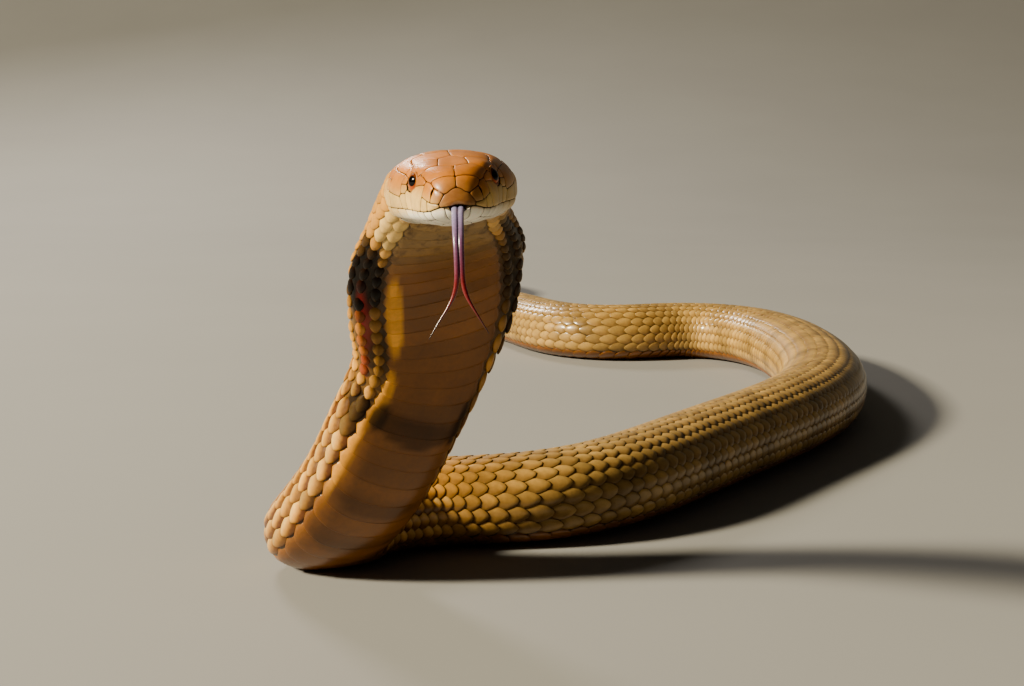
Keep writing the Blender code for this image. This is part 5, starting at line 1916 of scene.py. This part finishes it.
@dataclass
class HeadPlates:
    """The large smooth plates of the head and the lips.

    Attributes:
        rings_mm: Near a plate's edge, the inset, height and edge shade of each ring.
        inner: Farther in, the share of the way to its middle and the height.
    """

    form: Form
    step: float = 0.50 * MM
    rings_mm: tuple[Triple, ...] = (
        (0.00, -0.75, 1.00), (0.00, -0.12, 0.90), (0.05, 0.04, 0.45), (0.15, 0.12, 0.14),
        (0.34, 0.17, 0.03),
    )
    inner: tuple[tuple[float, float], ...] = ((0.16, 0.21), (0.34, 0.25), (0.56, 0.27), (0.80, 0.28))
    seed: int = 5
    MAP_END = 0.064

    def build(self) -> None:
        """Make the plates of the upper head and of the lower jaw."""
        self.tree = self._tree()
        draw = np.random.default_rng(self.seed)
        finish = HideFinish(under=0.0, wet=0.30, grain=0.03 * MM).make("plate_hide")
        for name, table in (("plates_head", UPPER_PLATES), ("plates_jaw", LOWER_PLATES)):
            add_piece(name, self._mesh(name, table, draw), finish)

    def _tree(self) -> BVHTree:
        """Make the head's form a tree, for finding where plates lie.

        Returns:
            The tree, with one face for each cell of the form's table.
        """
        rows, columns = self.form.head_count + 6, self.form.columns
        points = self.form.places[:rows].reshape(-1, 3)
        index = np.arange(rows * columns).reshape(rows, columns)
        corners = (index[:-1, :-1], index[:-1, 1:], index[1:, 1:], index[1:, :-1])
        faces = np.stack([corner.ravel() for corner in corners], axis=1).tolist()
        faces.append(index[0, :-1].tolist())
        return BVHTree.FromPolygons([Vector(point) for point in points], faces)

    def _cast(self, view: View, a: float, b: float, sign: float) -> Vector:
        """Find a place of one view on the head.

        Args:
            view: The view.
            a: Its first number.
            b: Its second number.
            sign: 1 on the head's left side and -1 on its right.

        Returns:
            The place on the form.
        """
        head, far = self.form.head, 60.0
        if view is View.RING:
            turn = math.radians(a)
            a = EYE_CENTRE_MM[0] + PLATE_RING_MM * math.cos(turn)
            b = EYE_CENTRE_MM[2] + PLATE_RING_MM * math.sin(turn)
        elif view in (View.LIP, View.JAW):
            b = float(head_rows(a)[0, 2]) + (b if view is View.LIP else -b)
        if view in (View.TOP, View.UNDER):
            over = 1.0 if view is View.TOP else -1.0
            start, way = head.point(a, sign * b, over * far), head.up * -over
        elif view is View.FRONT:
            start, way = head.point(-far, sign * a, b), -head.forward
        else:
            start, way = head.point(a, sign * far, b), -head.left * sign
        place = self.tree.ray_cast(Vector(start), Vector(way))[0]
        if place is None:
            place = self.tree.find_nearest(Vector(head.point(a, sign * b, 0.0)))[0]
        return place

    def _edge(self, first: tuple[str, float], last: tuple[str, float]) -> list[Vector]:
        """Points from one corner up to, but not with, the next.

        Args:
            first: Name of the first corner and its side.
            last: Name of the next corner and its side.

        Returns:
            The points, on the form where both corners have the mouth line's view.
        """
        ends = [PLATE_CORNERS[name] for name, _ in (first, last)]
        places = [self._cast(*corner, side) for corner, (_, side) in zip(ends, (first, last))]
        steps = max(1, round((places[1] - places[0]).length / self.step))
        shares = [k / steps for k in range(steps)]
        view = ends[0][0]
        if view is ends[1][0] and view in (View.LIP, View.JAW):
            mixed = [[x + (y - x) * share for x, y in zip(ends[0][1:], ends[1][1:])] for share in shares]
            return [self._cast(view, a, b, first[1]) for a, b in mixed]
        return [places[0].lerp(places[1], share) for share in shares]

    def _settle(self, points: Array) -> tuple[Array, Array, Array]:
        """Bring points onto the form.

        Args:
            points: Points near the form.

        Returns:
            Places on it, outward directions, and distances behind the snout with ways round.
        """
        places = np.empty_like(points)
        table = np.empty((len(points), 2))
        last = (self.form.head_count + 5) * (self.form.columns - 1) - 1
        for k, point in enumerate(points):
            place, _, face, _ = self.tree.find_nearest(Vector(point))
            row, column = divmod(min(face, last), self.form.columns - 1)
            places[k] = place
            table[k] = (self.form.q[row], 2.0 * (column + 0.5) / (self.form.columns - 1) - 1.0)
        raised = self.form.at(table[:, 0], table[:, 1], 1.0)
        return places, unit(raised - self.form.at(table[:, 0], table[:, 1], 0.0)), table

    def _outline(self, names: list[str], twin: float, gap: float) -> tuple[Array, Array]:
        """Draw a plate's outline, drawn in by the gap.

        Args:
            names: Names of its corners.
            twin: 1 for the plate on the left side and -1 for its twin.
            gap: Half the gap round it, in mm.

        Returns:
            Its points, and the way in from each.
        """
        corners = [(name.lstrip("-"), -twin if name.startswith("-") else twin) for name in names]
        if twin < 0.0:
            corners = corners[::-1]
        points = []
        for first, last in zip(corners, corners[1:] + corners[:1]):
            points.extend(self._edge(first, last))
        points, normals, _ = self._settle(np.array(points))
        middle = points.mean(axis=0)
        swirl = np.cross(points - middle, np.roll(points, -1, axis=0) - middle).sum(axis=0)
        if float(swirl @ normals.mean(axis=0)) < 0.0:
            points, normals = points[::-1], normals[::-1]
        points = points + self._inward(points, normals) * gap * MM
        for _ in range(3):
            beside = np.roll(points, 1, axis=0) + np.roll(points, -1, axis=0)
            points = 0.25 * beside + 0.5 * points
        return points, self._inward(points, normals)

    @staticmethod
    def _inward(points: Array, normals: Array) -> Array:
        """Directions from an outline's points into its plate."""
        return unit(np.cross(normals, np.roll(points, -1, axis=0) - np.roll(points, 1, axis=0)))

    def _plate(self, names: list[str], twin: float, gap: float, pick: float) -> Part:
        """Shape one plate.

        Args:
            names: Names of its corners.
            twin: 1 for the plate on the left side and -1 for its twin.
            gap: Half the gap round it, in mm.
            pick: A number that varies its shade.

        Returns:
            Points, faces, values and map places.
        """
        outline, inward = self._outline(names, twin, gap)
        count = len(outline)
        middle = outline.mean(axis=0)
        rings = [outline + inward * inset * MM for inset, _, _ in self.rings_mm]
        rings += [rings[-1] + (middle - rings[-1]) * share for share, _ in self.inner]
        heights = [row[1] for row in self.rings_mm + self.inner]
        rims = [row[2] for row in self.rings_mm] + [0.0] * len(self.inner)
        places, normals, table = self._settle(np.concatenate(rings + [middle[None]]))
        heights = np.append(np.repeat(heights, count), heights[-1]) * MM
        points = places + normals * heights[:, None]
        base = points[:count].mean(axis=0)[None] - normals[-1:] * 0.3 * MM
        points = np.concatenate((points, base))
        table = np.concatenate((table, table[-1:]))
        spread = Markings.shares(table[:, 0], table[:, 1])
        shades = {key: 0.4 * value[-1] + 0.6 * value for key, value in spread.items()}
        shades["rim"] = np.append(np.repeat(rims, count), (0.0, 1.0))
        shades["pick"] = np.full(len(table), pick)
        spots = np.stack((np.clip(table[:, 0] / self.MAP_END, 0.0, 1.0), 0.5 * table[:, 1] + 0.5), axis=1)
        return points, plate_faces(count, len(rings)), shades, 0.03 + 0.94 * spots

    def _mesh(self, name: str, table: tuple[tuple[str, float], ...],
              draw: np.random.Generator) -> Mesh:
        """Join a table's plates in one mesh.

        Args:
            name: Name of the mesh.
            table: The plates.
            draw: The seeded random draw.

        Returns:
            The mesh.
        """
        parts = []
        for corners, gap in table:
            for twin in (1.0,) if "-" in corners else (1.0, -1.0):
                parts.append(self._plate(corners.split(), twin, gap, float(draw.uniform(-0.6, 0.6))))
        return joined_mesh(name, parts)


@dataclass
class Eyes:
    """The two eyes and the rims round them.

    Attributes:
        facets: Sides of the ball and of the rim round their axes, and along and across.
    """

    form: Form
    forward_turn: float = math.radians(39.0)
    upward_turn: float = math.radians(13.0)
    rim_turn: float = math.radians(23.0)
    rim_radius: float = 3.50 * MM
    rim_half: float = 0.52 * MM
    rim_flatness: float = 0.62
    rim_reach: float = 2.50 * MM
    facets: tuple[int, int, int] = (56, 40, 12)

    def build(self) -> None:
        """Make both eyes and their rims."""
        eye_finish = self._finish()
        rim_finish = HideFinish(under=0.0, wet=0.35, grain=0.03 * MM).make("rim_hide")
        behind, out, up = EYE_CENTRE_MM
        for sign, side in ((1.0, "left"), (-1.0, "right")):
            centre = self.form.head.point(behind, sign * out, up)
            ball = self._ball(f"eye_ball_{side}", centre, self._axis(sign, self.forward_turn))
            add_piece(ball.name, ball, eye_finish, (f"eye_{side}",))
            rim = self._rim(f"eye_rim_{side}", centre, self._axis(sign, self.rim_turn))
            add_piece(rim.name, rim, rim_finish)

    def _axis(self, sign: float, turn: float) -> Array:
        """Find the direction that an eye or a rim looks in.

        Args:
            sign: 1 for the left side and -1 for the right.
            turn: How far it looks forward of the side.

        Returns:
            A unit vector.
        """
        head = self.form.head
        level = head.left * sign * math.cos(turn) + head.forward * math.sin(turn)
        return unit(level * math.cos(self.upward_turn) + head.up * math.sin(self.upward_turn))

    def _ball(self, name: str, centre: Array, axis: Array) -> Mesh:
        """Shape one eyeball.

        Args:
            name: Name of the mesh.
            centre: Its middle.
            axis: Direction that it looks in.

        Returns:
            The mesh, with the distance from its axis and the depth stored on it.
        """
        radius = EYE_RADIUS_MM * MM
        around, along, _ = self.facets
        builder = bmesh.new()
        bmesh.ops.create_uvsphere(builder, u_segments=around, v_segments=along, radius=radius)
        turn = Vector((0.0, 0.0, 1.0)).rotation_difference(Vector(axis)).to_matrix().to_4x4()
        place = Matrix.Translation(Vector(centre)) @ turn
        bmesh.ops.transform(builder, matrix=place, verts=builder.verts)
        mesh = finished_mesh(name, builder)
        away = (points_of(mesh) - centre) / radius
        outward = away @ axis
        iris = np.where(outward < 0.0, 1.0, np.sqrt(np.clip(1.0 - outward**2, 0.0, 1.0)))
        set_values(mesh, {"iris": iris, "low": 0.5 - 0.5 * (away @ self.form.head.up)})
        return mesh

    def _rim(self, name: str, centre: Array, axis: Array) -> Mesh:
        """Shape the narrow raised rim that closes the hide round an eye.

        Args:
            name: Name of the mesh.
            centre: The eye's middle.
            axis: Direction that the rim looks in.

        Returns:
            The mesh, with its shades stored on it.
        """
        middle = Vector(centre + axis * self.rim_reach)
        out = Vector(unit(np.cross(axis, self.form.head.up)))
        axis = Vector(axis)
        around, _, across = self.facets
        builder = bmesh.new()
        made = bmesh.ops.create_circle(builder, segments=across, radius=self.rim_half)
        plane = Matrix((out, axis, out.cross(axis))).transposed().to_4x4()
        flat = Matrix.Diagonal((1.0, self.rim_flatness, 1.0, 1.0))
        place = Matrix.Translation(middle + out * (self.rim_radius + 0.3 * self.rim_half)) @ plane @ flat
        bmesh.ops.transform(builder, matrix=place, verts=made["verts"])
        bmesh.ops.spin(
            builder,
            geom=list(builder.verts) + list(builder.edges),
            cent=middle,
            axis=axis,
            angle=2.0 * math.pi,
            steps=around,
            use_merge=True,
        )
        bmesh.ops.remove_doubles(builder, verts=builder.verts, dist=0.01 * MM)
        bmesh.ops.recalc_face_normals(builder, faces=builder.faces)
        mesh = finished_mesh(name, builder)
        ones = np.ones(len(mesh.vertices))
        set_values(mesh, {"warm": ones, "rim": 0.12 * ones, "deep": 0.30 * ones})
        return mesh

    @staticmethod
    def _finish() -> Material:
        """Round dark pupil in an orange-brown iris under a clear, wet cover.

        Returns:
            The material.
        """
        tree = NodeTree("eye_gloss")
        radius = tree.value_of("iris")
        low = tree.span(tree.value_of("low"), 0.40, 0.80, 0.0, 1.0)
        iris = tree.mix(srgb(92, 44, 14), srgb(196, 86, 20), low)
        iris = tree.scale(iris, tree.span(tree.noise(900.0, 3.0, 0.6), 0.3, 0.7, 0.72, 1.18))
        colour = tree.mix(iris, srgb(26, 10, 4), tree.span(radius, 0.86, 0.97, 0.0, 1.0))
        colour = tree.mix(srgb(3, 2, 2), colour, tree.span(radius, 0.48, 0.51, 0.0, 1.0))
        tree.set_shader({
            "Base Color": colour,
            "Roughness": 0.16,
            "Specular IOR Level": 0.10,
            "Coat Weight": 0.12,
            "Coat Roughness": 0.03,
        })
        return tree.material


@dataclass
class Tongue:
    """The forked tongue: two rods side by side that part at the fork.

    Attributes:
        wide_mm: Half its width at the root, where the rods start to part, at the fork,
            on the tine and at the tip.
        thick_mm: Half its thickness at the same places.
        parting: How far before the fork the rods start to part, and how far behind it
            they are apart.
    """

    form: Form
    sides: int = 18
    steps: int = 64
    wide_mm: tuple[float, ...] = (1.40, 1.02, 0.88, 0.52, 0.14)
    thick_mm: tuple[float, ...] = (0.85, 0.80, 0.72, 0.46, 0.13)
    parting: tuple[float, float] = (12.0 * MM, 4.0 * MM)

    def build(self) -> Object:
        """Make both rods in one mesh.

        Returns:
            The tongue.
        """
        builder = bmesh.new()
        shares = []
        for sign, tine in ((-1.0, TINE_RIGHT), (1.0, TINE_LEFT)):
            shares.extend(self._rod(builder, sign, tine))
        bmesh.ops.recalc_face_normals(builder, faces=builder.faces)
        mesh = finished_mesh("tongue_soft", builder)
        set_values(mesh, dict(zip(("out", "inner"), np.array(shares).T)))
        return add_piece("tongue_soft", mesh, self._finish(), ("tongue",))

    def _rod(self, builder: BMesh, sign: float,
             tine: tuple[tuple[float, float, float], ...]) -> list[tuple[float, float]]:
        """Shape one rod from the root to its tip.

        Args:
            builder: What the tongue is modelled with.
            sign: 1 for the rod on the snake's left side and -1 for the other.
            tine: Its route behind the fork.

        Returns:
            For each point its share of the length, and how far in it lies, which sets the painted shade in
            the crease between the rods.
        """
        head = self.form.head
        shaft = [head.point(behind, 0.0, TONGUE_LEVEL_MM) for behind in (7.0, 1.0)]
        shaft += [np.array(point) + ROUTE_SHIFT for point in TONGUE_ROUTE[:-1]]
        line = np.array(shaft + [np.array(point) + ROUTE_SHIFT for point in tine[1:]])
        knots = np.concatenate(([0.0], np.cumsum(np.linalg.norm(np.diff(line, axis=0), axis=1))))
        path, end, fork = Spline(knots, line), float(knots[-1]), float(knots[len(shaft)])
        marks = (0.0, fork - 0.010, fork, fork + 0.35 * (end - fork), end)
        stored = []
        ring = None
        for value in np.linspace(0.0, end, self.steps):
            before, place, after = path.at(value + np.array((-0.2, 0.0, 0.2)) * MM)
            way = unit(after - before)
            across = unit(head.left - way * float(head.left @ way))
            front = unit(np.cross(across, way))
            apart = float(smooth_step(value, fork - self.parting[0], fork + self.parting[1]))
            wide = float(np.interp(value, marks, self.wide_mm)) * MM
            thick = float(np.interp(value, marks, self.thick_mm)) * MM
            middle = place + across * sign * wide * 0.86 * (1.0 - apart)
            ring = self._next_ring(builder, ring)
            for k, vert in enumerate(ring):
                angle = 2.0 * math.pi * k / self.sides
                vert.co = middle + across * math.cos(angle) * wide + front * math.sin(angle) * thick
                stored.append((value / end, max(0.0, -sign * math.cos(angle)) * (1.0 - apart)))
        builder.faces.new(ring)
        return stored

    def _next_ring(self, builder: BMesh,
                   ring: list[BMVert] | None) -> list[BMVert]:
        """Add a ring of points to a rod.

        Args:
            builder: What the tongue is modelled with.
            ring: The ring before, if there is one.

        Returns:
            The new ring's points, in the order of the one before.
        """
        if ring is None:
            made = bmesh.ops.create_circle(builder, segments=self.sides, radius=1.0, cap_ends=True)
            return made["verts"]
        edges = {edge for vert in ring for edge in vert.link_edges
                 if edge.verts[0] in ring and edge.verts[1] in ring}
        new = set(moved_points(bmesh.ops.extrude_edge_only(builder, edges=list(edges))))
        return [
            next(edge.other_vert(vert) for edge in vert.link_edges if edge.other_vert(vert) in new)
            for vert in ring
        ]

    @staticmethod
    def _finish() -> Material:
        """Pale lavender at the root, through purple, to dark red at the fork, with painted shade in the
        crease where the rods lie together.

        Returns:
            The material.
        """
        tree = NodeTree("tongue_wet")
        out = tree.value_of("out")
        colour = tree.mix(srgb(168, 164, 214), srgb(112, 72, 108), tree.span(out, 0.10, 0.45, 0.0, 1.0))
        colour = tree.mix(colour, srgb(112, 14, 20), tree.span(out, 0.46, 0.66, 0.0, 1.0))
        colour = tree.mix(colour, srgb(44, 12, 12), tree.span(out, 0.74, 0.96, 0.0, 1.0))
        # Painted shade: the rods' inner sides, in the crease where they lie together, are darkened until
        # they part.
        inner = tree.span(tree.value_of("inner"), 0.25, 0.95, 0.0, 0.85)
        colour = tree.mix(colour, srgb(40, 16, 40), inner)
        tree.set_shader({
            "Base Color": tree.scale(colour, tree.span(tree.noise(700.0, 3.0, 0.6), 0.3, 0.7, 0.86, 1.10)),
            "Roughness": tree.span(tree.noise(1200.0, 2.0, 0.5), 0.3, 0.7, 0.22, 0.34),
            "Coat Weight": 0.3,
            "Coat Roughness": 0.12,
        })
        return tree.material


@dataclass
class Studio:
    """Camera, floor and soft lights.

    Attributes:
        focal_px: Its focal length in pixels of a picture as wide as wide_px.
    """

    eye_height: float = 0.228
    pitch: float = math.radians(7.1416)
    focal_px: float = 1700.0
    wide_px: float = 1024.0
    sensor_mm: float = 36.0
    floor_half: float = 14.0
    floor_rear: float = 1.6
    floor_sweep: float = 7.0
    floor_gap: float = 0.2 * MM
    sky: float = 0.03

    def build(self) -> None:
        """Set the camera, lay the floor and hang the lights."""
        self._camera()
        self._floor()
        self._world()
        self._lamp("key", (-5.96, -3.06, 3.40), (-0.09, -1.15, 0.12), 0.9, 1600.0, (1.0, 0.88, 0.62))
        self._lamp("rim", (-1.6, 3.0, 2.4), (0.0, -0.2, 0.05), 0.8, 90.0, (1.0, 0.92, 0.80))

    def _camera(self) -> None:
        """The camera at the photograph's place and angle."""
        data = bpy.data.cameras.new("camera")
        data.sensor_width = self.sensor_mm
        data.lens = self.focal_px / self.wide_px * self.sensor_mm
        data.clip_start = 0.01
        data.clip_end = 200.0
        camera = bpy.data.objects.new("camera", data)
        camera.location = Vector(ROUTE_SHIFT) + Vector((0.0, 0.0, self.eye_height))
        camera.rotation_euler = (math.pi / 2.0 - self.pitch, 0.0, 0.0)
        bpy.context.scene.collection.objects.link(camera)
        bpy.context.scene.camera = camera

    def _floor(self) -> None:
        """A wide, plain, pale floor that sweeps up far behind the snake."""
        builder = bmesh.new()
        turn = np.linspace(0.0, 0.5 * math.pi, 61)
        rear, sweep = self.floor_rear, self.floor_sweep
        profile = [(-self.floor_half, 0.0)]
        profile += [(rear + sweep * math.sin(t), sweep * (1.0 - math.cos(t))) for t in turn]
        profile.append((rear + sweep, self.floor_half))
        line = [builder.verts.new((-self.floor_half, y, z)) for y, z in profile]
        edges = [builder.edges.new(pair) for pair in zip(line, line[1:])]
        moved = moved_points(bmesh.ops.extrude_edge_only(builder, edges=edges))
        bmesh.ops.translate(builder, vec=(2.0 * self.floor_half, 0.0, 0.0), verts=moved)
        bmesh.ops.recalc_face_normals(builder, faces=builder.faces)
        mesh = finished_mesh("floor", builder)
        tree = NodeTree("floor_pale")
        colour = tree.mix(srgb(143, 142, 141), srgb(150, 149, 148), tree.noise(3.0, 3.0, 0.5))
        tree.set_shader({"Base Color": colour, "Roughness": 0.75})
        mesh.materials.append(tree.material)
        floor = bpy.data.objects.new("floor", mesh)
        floor.location = (0.0, 0.0, -self.floor_gap)
        bpy.context.scene.collection.objects.link(floor)

    def _world(self) -> None:
        """An even, pale sky."""
        world = bpy.data.worlds.new("studio")
        world.use_nodes = True
        background = world.node_tree.nodes["Background"]
        background.inputs["Color"].default_value = srgb(232, 226, 214)
        background.inputs["Strength"].default_value = self.sky
        bpy.context.scene.world = world

    @staticmethod
    def _lamp(name: str, place: Triple, target: Triple, size: float, power: float,
              colour: Triple) -> None:
        """Hang one square soft light.

        Args:
            name: Its name.
            place: Where it hangs.
            target: What it looks at.
            size: Length of its sides.
            power: Its power in watts.
            colour: Its colour.
        """
        data = bpy.data.lights.new(name, "AREA")
        data.size = size
        data.energy = power
        data.color = colour
        lamp = bpy.data.objects.new(name, data)
        lamp.location = place
        way = Vector(target) - Vector(place)
        lamp.rotation_euler = way.to_track_quat("-Z", "Y").to_euler()
        bpy.context.scene.collection.objects.link(lamp)


def main() -> None:
    """Load the frame and build every piece."""
    logging.basicConfig(level=logging.INFO, format="%(name)s: %(message)s")
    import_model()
    head = HeadFrame()
    form = Form(head, Route(head))
    Studio().build()
    Skin(form).build()
    HeadPlates(form).build()
    Eyes(form).build()
    Tongue(form).build()
    Gulars(form).build()
    Coat(form).build()
    BellyScutes(form).build()


if __name__ == "__main__":
    main()
